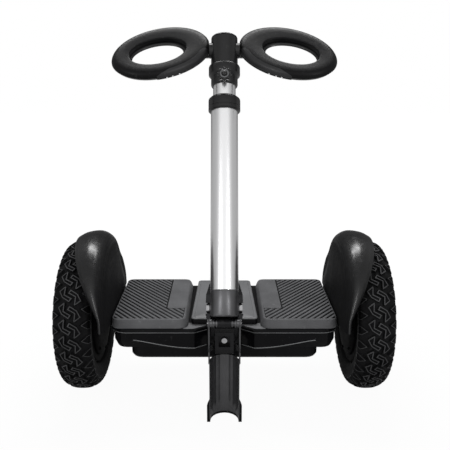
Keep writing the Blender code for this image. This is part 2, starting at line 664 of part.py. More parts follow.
    rear = BODY_BACK_Y - LENS_INSET + GAP
    bottom, top = TAIL_HEIGHTS
    tail = rounded_rectangle((-TAIL_HALF_WIDTH, bottom), (TAIL_HALF_WIDTH, top), 4 * MM, 3)
    piece("tail_lamp", prism(tail, "Y", rear, rear + 3 * MM), "red_lens")
    return shell


def lens_path(depth):
    """The lens in plan, from its outer end to the bay's back corner, at a depth behind its face."""
    across = depth * math.hypot(1, BAY_SLANT)
    front, back = BODY_FRONT_Y + depth, BODY_FRONT_Y + BAY_DEPTH - MM
    corner_x = BAY_FRONT_HALF_WIDTH + across - BAY_SLANT * depth
    end_x = BAY_FRONT_HALF_WIDTH + across - BAY_SLANT * (back - BODY_FRONT_Y)
    return (LENS_OUTER_X, front), (corner_x, front), (end_x, back)


def build_front_lens(side, sign):
    """A smoked lamp cover under the shell's lip that turns into the bay; its lower edge sags inward."""
    top = SHELL_TOP - LIP - 2.5 * MM - GAP
    back = LENS_INSET - GAP
    straight, turn = 7, 2
    # Each station is its share of the straight or slanted run, from the outer end inward.
    stations = [(0, i / straight) for i in range(straight + 1)]
    stations += [(1, i / turn) for i in range(1, turn + 1)]
    rings = []
    for count, (run, share) in enumerate(stations):
        fall = math.sin(min(count / straight, 1) * math.pi / 2) ** 1.2
        low = LENS_OUTER_HEIGHT - LENS_SAG * fall
        ring = []
        for depth, height in ((back, top), (0, top), (0, low + 0.6 * MM), (0.6 * MM, low), (back, low)):
            path = lens_path(depth)
            start, end = Vector(path[run]), Vector(path[run + 1])
            place = start.lerp(end, share)
            ring.append(Vector((sign * place.x, place.y, height)))
        rings.append(ring)
    return piece(f"front_lens_{side}", rings_solid(rings), "smoked_lens")


def build_steering():
    """The shaft, its bearings and rubber centring bush, and the sensor behind it."""
    carrier = frame_empty("lean_axis", (0, 0, SHAFT_HEIGHT))
    shaft = [
        (SHAFT_FRONT_Y, 0),
        (SHAFT_FRONT_Y, SHAFT_RADIUS),
        (SHAFT_BACK_Y, SHAFT_RADIUS),
        (SHAFT_BACK_Y, 0),
    ]
    piece("steering_shaft", turned(shaft, "Y", steps=BEARING_STEPS), "steel", carrier)
    inner = SHAFT_RADIUS + GAP
    width = SHAFT_BEARING_WIDTH
    front, back = SHAFT_BOSS_FRONT_Y + 2 * MM, SHAFT_BOSS_BACK_Y - 4 * MM - width
    runs = (
        ("shaft_bearing_front", front, front + width, "steel"),
        ("centring_bush", front + width + 0.5 * MM, back - 0.5 * MM, "soft_grip"),
        ("shaft_bearing_rear", back, back + width, "steel"),
    )
    for name, start, end, finish in runs:
        ring = tube("Y", start, end, SHAFT_BEARING_RADIUS, inner, steps=BEARING_STEPS)
        piece(name, ring, finish, carrier)
    start, end = SHAFT_BOSS_BACK_Y + MM, SHAFT_BACK_Y - MM
    nut = piece("shaft_nut", cylinder("Y", start, end, SHAFT_RADIUS + 4 * MM, steps=6), "steel", carrier)
    cut(nut, cutter("nut_bore", cylinder("Y", start - MM, end + MM, inner, steps=BEARING_STEPS), carrier))
    sensor_y = (SHAFT_BACK_Y + 2 * MM, SHAFT_BACK_Y + 4 * MM)
    sensor = box((-11 * MM, 11 * MM), sensor_y, (CHASSIS_TOP + GAP, SHAFT_HEIGHT + 14 * MM))
    piece("steering_sensor", sensor, "circuit")


def build_yoke(column):
    """The cradle that holds the column's foot, the hinge lug and the hub on the steering shaft."""
    inner = TUBE_RADIUS + 0.5 * MM
    core = inner - 1.5 * MM
    # Height, wall beyond the tube's radius, and half the angle that the cradle wraps.
    levels = [
        (BASE_START - 4 * MM, 5.5 * MM, 84),
        (BASE_START + 6 * MM, 7.5 * MM, 86),
        (BASE_END - 6 * MM, 6.5 * MM, 84),
        (BASE_END + 10 * MM, 5 * MM, 62),
        (BASE_END + 44 * MM, 2.2 * MM, 26),
    ]
    rings = []
    for height, wall, spread in levels:
        section = arc(TUBE_RADIUS + wall, 90 - spread, 90 + spread, 8)
        section += arc(core, 90 + spread, 90 - spread, 4)
        rings.append([Vector((x, y, height)) for x, y in section])
    cradle = rings_solid(rings)
    # The cradle's faces twist from level to level, so they are split to be flat for the Booleans.
    bmesh.ops.triangulate(cradle, faces=cradle.faces)
    yoke = piece("steering_yoke", cradle, "black_metal", column)
    # The rest of the casting is drawn in world axes, where the shaft is level.
    lug = column.matrix_world @ Vector((0, -HINGE_FORWARD, 0))
    front, level = SHAFT_FRONT_Y, SHAFT_HEIGHT
    side = [
        (lug.y - 2 * MM, lug.z - 8 * MM),
        (front - 14 * MM, level + 19 * MM),
        (front - 14 * MM, level - 9 * MM),
    ]
    side += arc(10 * MM, 180, 270, 4, (front - 4 * MM, level - 10 * MM))
    side += [
        (front + 10 * MM, level - 20 * MM),
        (front + 14 * MM, level - 12 * MM),
        (front + 18 * MM, level + 16 * MM),
        (front + 20 * MM, level + 40 * MM),
        (front + 14 * MM, level + 52 * MM),
        (lug.y + 12 * MM, lug.z + 2 * MM),
    ]
    half = YOKE_BLOCK_HALF_WIDTH
    block = cutter("yoke_block", prism(side, "X", -half, half))
    web_side = [
        (front + 6 * MM, level - 8 * MM),
        (front + 15 * MM, level - 8 * MM),
        (front + 20 * MM, level + 24 * MM),
        (front + 23 * MM, level + 46 * MM),
        (front + 8 * MM, level + 46 * MM),
        (front + 4 * MM, level + 24 * MM),
    ]
    half = TUBE_RADIUS - MM
    web = cutter("yoke_web", prism(web_side, "X", -half, half))
    hub = cutter("yoke_hub", cylinder("Y", front, YOKE_BACK_Y, YOKE_HUB_RADIUS, (0, level), 18))
    half = KNUCKLE_HALF_WIDTH
    knuckle = cylinder("X", -half, half, CHEEK_BOSS_RADIUS, (lug.y, lug.z), 20)
    join(yoke, block, web, hub, cutter("yoke_knuckle", knuckle))
    room = cylinder("Z", BASE_START - GAP, BASE_END + 60 * MM, inner, steps=COLUMN_STEPS)
    pin = cylinder("X", -40 * MM, 40 * MM, PIN_RADIUS + 0.1 * MM, (lug.y, lug.z), 16)
    shaft_line, bolt_line = (0, level), (0, level + 4.5 * MM)
    shaft_reach = (front - GAP, YOKE_BACK_Y + MM)
    shaft_hole = cylinder("Y", *shaft_reach, SHAFT_RADIUS + GAP, shaft_line, BEARING_STEPS)
    bolt_hole = cylinder("Y", front - 28 * MM, front, BOLT_RADIUS + BOLT_FIT, bolt_line, 12)
    heights = (level - 5 * MM, level + 14 * MM)
    recess = box((-9 * MM, 9 * MM), (front - 18 * MM, YOKE_RECESS_Y), heights)
    cut(
        yoke,
        cutter("base_room", room, column),
        cutter("pin_hole", pin),
        cutter("shaft_hole", shaft_hole),
        cutter("yoke_recess", recess),
        cutter("yoke_bolt_hole", bolt_hole),
    )
    cross_line = (CROSS_BOLT_Y, BASE_START + 13.5 * MM)
    cross_hole = cylinder("X", -50 * MM, 50 * MM, BOLT_RADIUS + BOLT_FIT, cross_line, 12)
    cross_hole = cutter("cross_hole", cross_hole, column)
    ear = TUBE_RADIUS + 0.9 * MM
    for side, sign in SIDES:
        low, high = sorted((sign * KNUCKLE_HALF_WIDTH, sign * (TUBE_RADIUS - MM)))
        room = cylinder("X", low, high, CHEEK_BOSS_RADIUS + MM, (lug.y, lug.z), 16)
        low, high = sorted((sign * ear, sign * (ear + 20 * MM)))
        reach = CROSS_HEAD_RADIUS + 1.2 * MM
        pocket = arc(reach, -90, 90, 6, cross_line)
        pocket += [(-10 * MM, cross_line[1] + reach), (-10 * MM, cross_line[1] - reach)]
        cut(yoke, cutter(f"spacer_room_{side}", room))
        cut(yoke, cutter(f"cross_pocket_{side}", prism(pocket, "X", low, high), column))
    cut(yoke, cross_hole)
    reach, head = ear + GAP, ear + 5 * MM
    bolt = [(-head, 0), (-head, CROSS_HEAD_RADIUS), (-reach, CROSS_HEAD_RADIUS), (-reach, BOLT_RADIUS)]
    bolt += [(-along, radius) for along, radius in bolt[::-1]]
    piece("cross_bolt", turned(bolt, "X", cross_line, 12), "steel", column)
    face = YOKE_RECESS_Y - GAP
    bolt = [(face - 5 * MM, 0), (face - 5 * MM, 4.4 * MM), (face, 5 * MM), (face, BOLT_RADIUS)]
    bolt += [(SHAFT_FRONT_Y - 2 * GAP, BOLT_RADIUS), (SHAFT_FRONT_Y - 2 * GAP, 0)]
    piece("yoke_bolt", turned(bolt, "Y", bolt_line, 12), "steel")
    return cross_hole, lug


def build_column(column, cross_hole):
    """The base plug, the two tubes with their slide bush, the collar and the head."""
    fit = TUBE_RADIUS - TUBE_WALL
    radius = TUBE_RADIUS
    base = [
        (BASE_START, 0),
        (BASE_START, radius - MM),
        (BASE_START + MM, radius),
        (BASE_END, radius),
        (BASE_END, fit - GAP),
        (BASE_END + BASE_PLUG, fit - GAP),
        (BASE_END + BASE_PLUG, 0),
    ]
    cut(piece("column_base", turned(base, steps=COLUMN_STEPS), "black_metal", column), cross_hole)
    start = BASE_END + GAP
    outer = tube("Z", start, TUBE_END, radius, fit, steps=COLUMN_STEPS)
    piece("outer_tube", outer, "silver_tube", column)

    slide = INNER_TUBE_RADIUS
    bore = slide - INNER_TUBE_WALL
    inner = tube("Z", INNER_TUBE_START, INNER_TUBE_END, slide, bore, steps=COLUMN_STEPS)
    piece("inner_tube", inner, "silver_tube", column)
    start, end = INNER_TUBE_START, INNER_TUBE_START + BUSH_LENGTH
    bush = tube("Z", start, end, fit - GAP, slide + GAP / 2, steps=COLUMN_STEPS)
    piece("slide_bush", bush, "nylon", column)

    chamfer = 2 * MM
    collar = [
        (COLLAR_START, radius + GAP),
        (COLLAR_START, COLLAR_RADIUS - 1.5 * chamfer),
        (COLLAR_START + chamfer, COLLAR_RADIUS),
        (COLLAR_END - 2 * chamfer, COLLAR_RADIUS),
        (COLLAR_END, COLLAR_RADIUS - 2 * chamfer),
        (COLLAR_END, slide + GAP),
        (TUBE_END + GAP, slide + GAP),
        (TUBE_END + GAP, radius + GAP),
    ]
    piece("twist_collar", turned(collar, steps=COLUMN_STEPS), "black_plastic", column)

    wide = HEAD_CLAMP_RADIUS
    head = [
        (HEAD_START, 0),
        (HEAD_START, HEAD_RADIUS - 1.5 * MM),
        (HEAD_START + 2.5 * MM, HEAD_RADIUS),
        (HEAD_CLAMP_START - 3 * MM, HEAD_RADIUS),
        (HEAD_CLAMP_START, wide),
        (HEAD_CLAMP_END - 2 * MM, wide),
        (HEAD_CLAMP_END, HEAD_RADIUS + 0.6 * MM),
        (HEAD_END, HEAD_RADIUS),
        (HEAD_END, 0),
    ]
    bore = [
        (HEAD_START - MM, 0),
        (HEAD_START - MM, slide + GAP),
        (INNER_TUBE_END + GAP, slide + GAP),
        (INNER_TUBE_END + GAP, slide - MM),
        (HEAD_END - 4 * MM, slide - MM),
        (HEAD_END - 4 * MM, 0),
    ]
    head = piece("head_clamp", turned(head, steps=COLUMN_STEPS), "black_plastic", column)
    stubs = cylinder("X", -STUB_REACH, STUB_REACH, STUB_RADIUS, (0.05 * MM, HANDLE_AXIS_S), 20)
    join(head, cutter("head_stubs", stubs, column))
    stud_reach = (-HEAD_RADIUS - 20 * MM, 3 * MM - slide)
    stud_hole = cylinder("Y", *stud_reach, STUD_RADIUS + BOLT_FIT, (0, KNOB_S), 12)
    bore = cutter("head_bore", turned(bore, steps=COLUMN_STEPS), column)
    cut(head, bore, cutter("stud_hole", stud_hole, column))
    cap = [(HEAD_END + GAP, 0), (HEAD_END + GAP, HEAD_RADIUS), (HEAD_END + 2.6 * MM, HEAD_RADIUS - MM)]
    cap += [(HEAD_END + 4.6 * MM, HEAD_RADIUS - 5.5 * MM), (HEAD_END + 5.4 * MM, 0)]
    piece("head_cap", turned(cap, steps=COLUMN_STEPS), "black_plastic", column)

    outline = []
    for i in range(KNOB_LOBES * 3):
        angle = 2 * math.pi * i / (KNOB_LOBES * 3)
        r = KNOB_RADIUS * (0.91 + 0.09 * math.cos(KNOB_LOBES * angle))
        outline.append((r * math.cos(angle), KNOB_S + r * math.sin(angle)))
    start = -HEAD_CLAMP_RADIUS - GAP
    rings = []
    for depth, scale in ((0, 0.75), (2 * MM, 0.95), (KNOB_DEPTH - 2 * MM, 1), (KNOB_DEPTH, 0.84)):
        rings.append([Vector((x * scale, start - depth, KNOB_S + (s - KNOB_S) * scale)) for x, s in outline])
    knob = piece("star_knob", rings_solid(rings), "black_plastic", column)
    place = (0, KNOB_S)
    stud = cylinder("Y", start - MM, -slide - 2 * GAP, STUD_RADIUS, place, 12)
    neck = cylinder("Y", start - 0.5 * MM, -HEAD_RADIUS - GAP, 6.5 * MM, place, 16)
    ball = bmesh.new()
    bmesh.ops.create_uvsphere(ball, u_segments=10, v_segments=6, radius=5.2 * MM)
    bmesh.ops.translate(ball, verts=ball.verts, vec=(0, start - KNOB_DEPTH + 1.5 * MM, KNOB_S))
    for name, part in (("knob_stud", stud), ("knob_neck", neck), ("knob_ball", ball)):
        join(knob, cutter(name, part, column))


def ellipse_point(share, half_length, half_width, sweep, centre):
    """A point of a swept ellipse in the ring's plane; share runs round it from 0 to 1."""
    angle = 2 * math.pi * share
    x, y = half_length * math.cos(angle), half_width * math.sin(angle)
    return Vector(
        (
            centre[0] + x * math.cos(sweep) - y * math.sin(sweep),
            centre[1] + x * math.sin(sweep) + y * math.cos(sweep),
        )
    )


def ring_point(share, across):
    """A point of the ring handle's plan: across is 0 at the hand hole and 1 at the outer rim.

    The ring is flat where it meets the head's side boss.
    """
    rim = ellipse_point(share, RING_HALF_LENGTH, RING_HALF_WIDTH, RING_SWEEP, RING_CENTRE)
    hole = ellipse_point(share, HOLE_HALF_LENGTH, HOLE_HALF_WIDTH, HOLE_SWEEP, HOLE_CENTRE)
    point = hole.lerp(rim, across)
    return Vector((max(point.x, STUB_REACH + GAP), point.y))


def ring_solid(section, sign):
    """A closed ring whose section is given as (across, height) pairs."""
    rings = []
    for i in range(RING_STEPS):
        share = i / RING_STEPS
        ring = []
        for across, height in section:
            point = ring_point(share, across)
            ring.append(Vector((sign * point.x, point.y, height)))
        rings.append(ring)
    return rings_solid(rings, closed=True)


def build_handle(side, sign, carrier):
    """A ring handle: a soft pad over a stiff base whose stub fits the head."""
    up, down = RING_PAD_HEIGHT, RING_BASE_DEPTH
    pad = [
        (0.02, 0),
        (-0.01, 0.5 * up),
        (0.2, 0.97 * up),
        (0.55, up),
        (0.86, 0.68 * up),
        (1.0, 0),
    ]
    piece(f"grip_pad_{side}", ring_solid(pad, sign), "soft_grip", carrier, 60)
    base = [
        (0, -GAP),
        (0.98, -GAP),
        (0.84, -down),
        (0.2, -down),
        (0, -0.6 * down),
    ]
    base = piece(f"handle_base_{side}", ring_solid(base, sign), "black_plastic", carrier, 60)
    low, high = sorted((sign * (STUB_REACH + GAP), sign * (STUB_REACH + 24.5 * MM)))
    stub = cylinder("X", low, high, STUB_RADIUS - GAP, (0, -GAP), 20)
    under = box((-60 * MM, 60 * MM), (-40 * MM, 40 * MM), (-30 * MM, -GAP))
    stub = cutter(f"handle_stub_{side}", stub, carrier)
    trim = stub.modifiers.new("under the pad", "BOOLEAN")
    trim.operation = "INTERSECT"
    trim.object = cutter(f"stub_trim_{side}", under, carrier)
    join(base, stub)

    # The strip that carries the indicator dots lies in the pad's near rim.
    first, last = STRIP_SPAN
    strip = [(1.012, -2.4 * MM), (1.04, -2.4 * MM), (1.04, 2.2 * MM), (1.024, 3 * MM), (1.012, 0.2 * MM)]
    rings = []
    for i in range(STRIP_STEPS + 1):
        share = first + (last - first) * i / STRIP_STEPS
        ring = []
        for across, height in strip:
            point = ring_point(share, across)
            ring.append(Vector((sign * point.x, point.y, height)))
        rings.append(ring)
    piece(f"trim_strip_{side}", rings_solid(rings), "grey_plastic", carrier)


def leg_section(inner, outer, flange):
    """The half pipe's section, seen along the leg: X across, Y back; it opens toward -Y."""
    back = arc(outer, 0, 180, LEG_STEPS)
    front = arc(inner, 180, 0, LEG_STEPS)
    return [(outer, -flange)] + back + [(-outer, -flange), (-inner, -flange)] + front + [(inner, -flange)]


def build_leg(lug):
    """The hinge pin with its spacers, the half-pipe leg and its foot."""
    carrier = frame_empty("leg_axis", lug)
    centre_y = -HINGE_FORWARD
    inner = TUBE_RADIUS + LEG_CLEARANCE
    outer = inner + LEG_WALL
    bottom = -lug.z
    section = [(x, y + centre_y) for x, y in leg_section(inner, outer, LEG_FLANGE)]
    channel = prism(section, "Z", bottom + FOOT_SOLE + GAP, -LEG_HEAD_LENGTH)
    leg = piece("parking_leg", channel, "black_metal", carrier)
    cheek_in = inner + 0.2 * MM
    cheek_out = cheek_in + CHEEK_THICKNESS
    for side, sign in SIDES:
        low, high = sorted((sign * cheek_in, sign * cheek_out))
        outline = arc(CHEEK_BOSS_RADIUS, 0, 180, 8)
        outline += [
            (centre_y, -12 * MM),
            (centre_y, -LEG_HEAD_LENGTH - 4 * MM),
            (centre_y + 8 * MM, -LEG_HEAD_LENGTH - 10 * MM),
            (centre_y + 15 * MM, -LEG_HEAD_LENGTH - 4 * MM),
            (centre_y + 15 * MM, -20 * MM),
        ]
        cheek = prism(outline, "X", low, high)
        cheek = cutter(f"leg_cheek_{side}", cheek, carrier)
        join(leg, cheek)
    pin_hole = cylinder("X", -50 * MM, 50 * MM, PIN_RADIUS + GAP, steps=16)
    cut(leg, cutter("leg_pin_hole", pin_hole, carrier))
    shoulder = 5 * MM
    foot_inner = outer + GAP
    foot_outer = foot_inner + FOOT_WALL
    rings = []
    for height, width in (
        (bottom, foot_outer),
        (bottom + FOOT_HEIGHT - shoulder, foot_outer),
        (bottom + FOOT_HEIGHT, foot_outer - 2.2 * MM),
    ):
        section = leg_section(foot_inner, width, LEG_FLANGE)
        rings.append([Vector((x, y + centre_y, height)) for x, y in section])
    foot = piece("leg_foot", rings_solid(rings), "black_plastic", carrier)
    sole = leg_section(inner, foot_inner + MM, LEG_FLANGE)
    sole = prism([(x, y + centre_y) for x, y in sole], "Z", bottom, bottom + FOOT_SOLE)
    join(foot, cutter("foot_sole", sole, carrier))

    head = cheek_out + 1.5 * MM
    spacer = KNUCKLE_HALF_WIDTH + GAP
    half = [
        (spacer, PIN_RADIUS),
        (spacer, PIN_RADIUS + 2.4 * MM),
        (spacer + 3.2 * MM, PIN_RADIUS + 2.4 * MM),
        (spacer + 4.2 * MM, PIN_RADIUS + 1.2 * MM),
        (spacer + 6 * MM, PIN_RADIUS + 2.8 * MM),
        (cheek_in - GAP, PIN_RADIUS + 2.2 * MM),
        (cheek_in - GAP, PIN_RADIUS),
        (cheek_out + GAP, PIN_RADIUS),
        (cheek_out + GAP, PIN_RADIUS + 1.5 * MM),
        (head, PIN_RADIUS + 0.5 * MM),
        (head, 0),
    ]
    pin = [(-along, radius) for along, radius in reversed(half)] + half
    piece("hinge_pin", turned(pin, "X", steps=10), "steel", carrier)


def build_rear_controls(shell):
    """The power button and the charging socket with its rubber cap, in the shell's rear."""
    face, height = REAR_FACE_Y, CONTROL_HEIGHT
    button_x, port_x = -CONTROL_X, CONTROL_X
    through = (face - 8 * MM, face + 8 * MM)
    hole = cylinder("Y", *through, BUTTON_RADIUS + GAP, (button_x, height), 14)
    port_hole = cylinder("Y", *through, PORT_RADIUS + GAP, (port_x, height), 14)
    cut(shell, cutter("button_hole", hole), cutter("port_hole", port_hole))
    back, flange = face - 6 * MM, BUTTON_RADIUS + 2 * MM
    button = [(back, 0), (back, flange), (back + 1.2 * MM, flange), (back + 1.2 * MM, BUTTON_RADIUS)]
    button += [(face + 2 * MM, BUTTON_RADIUS), (face + 3 * MM, BUTTON_RADIUS - MM), (face + 3 * MM, 0)]
    piece("power_button", turned(button, "Y", (button_x, height), 14), "black_plastic")
    socket = [
        (face - 17 * MM, 0),
        (face - 17 * MM, PORT_RADIUS),
        (face, PORT_RADIUS),
        (face, PORT_RADIUS - 2.5 * MM),
        (face - 11 * MM, PORT_RADIUS - 2.5 * MM),
        (face - 11 * MM, 0),
    ]
    piece("charge_port", turned(socket, "Y", (port_x, height), 14), "steel")
    cap = (port_x, height - 0.5 * MM)
    cap = cylinder("Y", face + 0.8 * MM, face + 3 * MM, PORT_RADIUS + 2 * MM, cap, 16)
    piece("charge_cap", cap, "soft_grip")


def main():
    clear_scene()
    for side, sign in SIDES:
        build_wheel(side, sign)
        build_fender(side, sign)
    build_chassis()
    shell = build_body()
    build_rear_controls(shell)
    build_steering()
    column = frame_empty("column_frame", COLUMN_FOOT, Matrix.Rotation(-COLUMN_LEAN, 4, "X"))
    cross_hole, lug = build_yoke(column)
    build_column(column, cross_hole)
    build_leg(lug)
    head = column.matrix_world @ Vector((0, 0, HANDLE_AXIS_S))
    handles = frame_empty("handle_frame", head, Matrix.Rotation(RING_TILT, 4, "X"))
    for side, sign in SIDES:
        build_handle(side, sign, handles)


main()
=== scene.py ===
"""Looks of the self-balancing scooter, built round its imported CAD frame.

The frame is in metres, with +Z up and the front towards -Y. Sizes here are in millimetres unless
they say otherwise, and turn into metres where points are made. Each sub-assembly is a class that
holds its sizes, builds its meshes and dresses them, and each finish is a small frozen class.
"""

import logging
import math
from collections.abc import Iterable, Sequence
from dataclasses import dataclass, field
from enum import Enum
from typing import Any

import bmesh
import bpy
from mathutils import Matrix, Vector

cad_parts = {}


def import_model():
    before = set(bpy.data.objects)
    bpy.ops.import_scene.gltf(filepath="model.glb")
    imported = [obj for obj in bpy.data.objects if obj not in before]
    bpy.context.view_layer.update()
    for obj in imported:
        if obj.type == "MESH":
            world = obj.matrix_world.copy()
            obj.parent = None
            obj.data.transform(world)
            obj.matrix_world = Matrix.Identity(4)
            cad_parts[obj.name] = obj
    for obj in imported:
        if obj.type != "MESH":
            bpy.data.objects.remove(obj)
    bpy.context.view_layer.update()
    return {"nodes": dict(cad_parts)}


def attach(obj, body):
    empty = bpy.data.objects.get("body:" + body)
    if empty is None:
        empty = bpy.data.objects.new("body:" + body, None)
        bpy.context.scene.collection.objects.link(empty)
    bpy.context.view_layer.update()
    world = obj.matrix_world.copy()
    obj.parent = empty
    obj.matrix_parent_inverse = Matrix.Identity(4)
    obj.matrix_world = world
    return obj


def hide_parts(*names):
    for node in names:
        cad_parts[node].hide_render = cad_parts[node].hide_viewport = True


LOG = logging.getLogger("scooter")
MM = 0.001
GAP = 0.3
SIDES = (("left", -1), ("right", 1))

Pair = tuple[float, float]
Triple = tuple[float, float, float]

# Sizes of the frame that several pieces follow.
AXLE_HEIGHT = 128.0
WHEEL_X = 240.5
BODY_FRONT_Y = -98.5
BAY_HALF_WIDTH = 48.0
BAY_SLANT = 1.5
SHELL_TOP = 140.0
TUBE_RADIUS = 22.0
SLIDE_RADIUS = 18.5
HANDLE_AXIS = 447.0
STUB_RADIUS = 12.5
STUB_REACH = 25.5
COLUMN_LEAN = math.radians(25)
COLUMN_FOOT = Vector((0, -128.3, 165.3))
COLUMN = Matrix.Translation(COLUMN_FOOT * MM) @ Matrix.Rotation(-COLUMN_LEAN, 4, "X")
RING_TILT = math.radians(42)

# How the finishes' noise is laid out: its repeats to the metre for the clouds of colour and the
# patches of wear, the span of it that counts, where rubbing sets in and how strong it gets.
CLOUD_SCALE = 22.0
PATCH_SCALE = 160.0
NOISE_SPAN = (0.3, 0.7)
SCUFF_SPAN = (0.66, 0.74)
SCUFF_STRENGTH = 0.6

# How far the roughness varies: at most, and as a share of itself. Drawn metal varies less, and its
# grain is stretched along its tube.
ROUGH_MOST = 0.06
ROUGH_SHARE = 0.35
DRAWN_SPREAD = 0.015
DRAWN_STRETCH = (1.0, 1.0, 0.02)


class Body(Enum):
    """The moving bodies of the frame that the new pieces ride on."""

    CHASSIS = "chassis"
    WHEEL_LEFT = "wheel_left"
    WHEEL_RIGHT = "wheel_right"
    COLUMN = "column"
    COLLAR = "collar"
    MAST = "mast"
    KNOB = "knob"
    LEG = "leg"


class Grain(Enum):
    """The kind of fine surface that a finish has."""

    MOULDED = "moulded"
    PEEL = "peel"
    DRAWN = "drawn"
    CAST = "cast"
    PEBBLE = "pebble"


def smooth_through(points: Sequence[Sequence[float]], per: int) -> list[Vector]:
    """Draw a smooth open curve through points.

    Args:
        points: The points, all of one dimension.
        per: How many steps each span gets.

    Returns:
        The curve's points, the given ones among them.
    """
    held = [Vector(p) for p in points]
    held = [2 * held[0] - held[1], *held, 2 * held[-1] - held[-2]]
    drawn = []
    for a, b, c, d in zip(held, held[1:], held[2:], held[3:]):
        for i in range(per):
            t = i / per
            square, cube = (2 * a - 5 * b + 4 * c - d) * t * t, (3 * b - a - 3 * c + d) * t**3
            drawn.append(0.5 * (2 * b + (c - a) * t + square + cube))
    drawn.append(held[-2])
    return drawn


def eased(value: float, start: float, end: float) -> float:
    """Rise smoothly with a value.

    Args:
        value: The value.
        start: Up to here the result is 0.
        end: From here on the result is 1.

    Returns:
        A share from 0 to 1.
    """
    share = min(max((value - start) / (end - start), 0), 1)
    return share * share * (3 - 2 * share)


def inset_outline(outline: Sequence[Pair], distance: float) -> list[Pair]:
    """Move each edge of a closed outline inward.

    Args:
        outline: The corners, counter-clockwise.
        distance: How far in; a negative distance moves the edges out.

    Returns:
        The corners of the moved outline, in the same order.
    """
    moved_corners = []
    count = len(outline)
    for i in range(count):
        before, here, after = (Vector(outline[(i + k) % count]) for k in (-1, 0, 1))
        first, second = (here - before).normalized(), (after - here).normalized()
        middle = Vector((-first.y - second.y, first.x + second.x))
        scale = 2 * distance / max(middle.length_squared, 0.5)
        moved_corners.append(tuple(here + middle * scale))
    return moved_corners


def round_rectangle(low: Pair, high: Pair, radius: float, steps: int) -> list[Pair]:
    """List the points of a rectangle with round corners, counter-clockwise.

    Args:
        low: Its lowest corner.
        high: Its highest corner.
        radius: The radius of its corners.
        steps: How many steps each corner has.

    Returns:
        The points.
    """
    points = []
    for x, y, start in (
        (high[0] - radius, high[1] - radius, 0),
        (low[0] + radius, high[1] - radius, 90),
        (low[0] + radius, low[1] + radius, 180),
        (high[0] - radius, low[1] + radius, 270),
    ):
        for i in range(steps + 1):
            angle = math.radians(start + 90 * i / steps)
            points.append((x + radius * math.cos(angle), y + radius * math.sin(angle)))
    return points


def laid(outline: Iterable[Pair], height: float) -> list[Vector]:
    """Lay an outline flat at a height, in metres."""
    return [Vector((x, y, height)) * MM for x, y in outline]


def loft(rings: Sequence[Sequence[Vector]], closed: bool = False) -> bmesh.types.BMesh:
    """Join rings of equally many points.

    Args:
        rings: The rings in order.
        closed: Whether the last ring joins the first; if not, both end rings are capped.

    Returns:
        A new mesh.
    """
    bm = bmesh.new()
    made = [[bm.verts.new(point) for point in ring] for ring in rings]
    count = len(rings[0])
    pairs = list(zip(made, made[1:]))
    if closed:
        pairs.append((made[-1], made[0]))
    for first, second in pairs:
        for i in range(count):
            j = (i + 1) % count
            bm.faces.new((first[i], first[j], second[j], second[i]))
    if not closed:
        bm.faces.new(made[0][::-1])
        bm.faces.new(made[-1])
    return bm


def turned(profile: Sequence[Pair], place: Matrix, steps: int) -> bmesh.types.BMesh:
    """Turn a profile about a local axis.

    Args:
        profile: Pairs of distance along the axis and radius. A profile with both ends on the axis
            is full, and any other closes on itself as a ring.
        place: Takes the local Z axis to where the piece is.
        steps: How many sides the piece has.

    Returns:
        A new mesh.
    """
    bm = bmesh.new()
    turns = [2 * math.pi * i / steps for i in range(steps)]
    rows = []
    for along, radius in profile:
        if radius == 0:
            rows.append([bm.verts.new(place @ Vector((0, 0, along * MM)))] * steps)
        else:
            ring = [Vector((radius * math.cos(t), radius * math.sin(t), along)) * MM for t in turns]
            rows.append([bm.verts.new(place @ point) for point in ring])
    pairs = list(zip(rows, rows[1:]))
    if profile[0][1] or profile[-1][1]:
        pairs.append((rows[-1], rows[0]))
    for first, second in pairs:
        for i in range(steps):
            j = (i + 1) % steps
            corners = list(dict.fromkeys((first[i], first[j], second[j], second[i])))
            if len(corners) > 2:
                bm.faces.new(corners)
    return bm


def swept_bead(path: Sequence[Vector], radius: float, sides: int = 8) -> bmesh.types.BMesh:
    """Sweep a small round bead along a nearly level path.

    Args:
        path: The bead's centre line, in millimetres.
        radius: The bead's radius.
        sides: How many sides the bead has.

    Returns:
        A new mesh with both ends capped.
    """
    turns = [2 * math.pi * k / sides for k in range(sides)]
    rings = []
    for i, point in enumerate(path):
        way = (path[min(i + 1, len(path) - 1)] - path[max(i - 1, 0)]).normalized()
        flat = Vector((way.y, -way.x, 0)).normalized()
        up = way.cross(flat)
        ring = [point + (flat * math.cos(t) + up * math.sin(t)) * radius for t in turns]
        rings.append([spot * MM for spot in ring])
    return loft(rings)


def merged(*parts: bmesh.types.BMesh) -> bmesh.types.BMesh:
    """Put several meshes into one.

    Args:
        *parts: The meshes. All but the first are freed.

    Returns:
        The first mesh, with the others added.
    """
    whole = parts[0]
    for part in parts[1:]:
        held = bpy.data.meshes.new("held")
        part.to_mesh(held)
        part.free()
        whole.from_mesh(held)
        bpy.data.meshes.remove(held)
    return whole


def cut_through(
    bm: bmesh.types.BMesh, point: Vector, normal: Vector, keep_below: bool = False
) -> None:
    """Cut a mesh along a plane.

    Args:
        bm: The mesh.
        point: A point of the plane.
        normal: The plane's normal.
        keep_below: Whether what lies beyond the plane goes.
    """
    geometry = [*bm.verts, *bm.edges, *bm.faces]
    bmesh.ops.bisect_plane(
        bm, geom=geometry, plane_co=point, plane_no=normal, clear_outer=keep_below
    )


def moved(x: float, y: float, z: float) -> Matrix:
    """Give the matrix that moves by millimetres."""
    return Matrix.Translation(Vector((x, y, z)) * MM)


def along_x(x: float, height: float, sign: int = 1, y: float = 0.0) -> Matrix:
    """Take the local Z axis to world X at a place; sign -1 turns it to point the other way."""
    return moved(x, y, height) @ Matrix.Rotation(sign * math.pi / 2, 4, "Y")


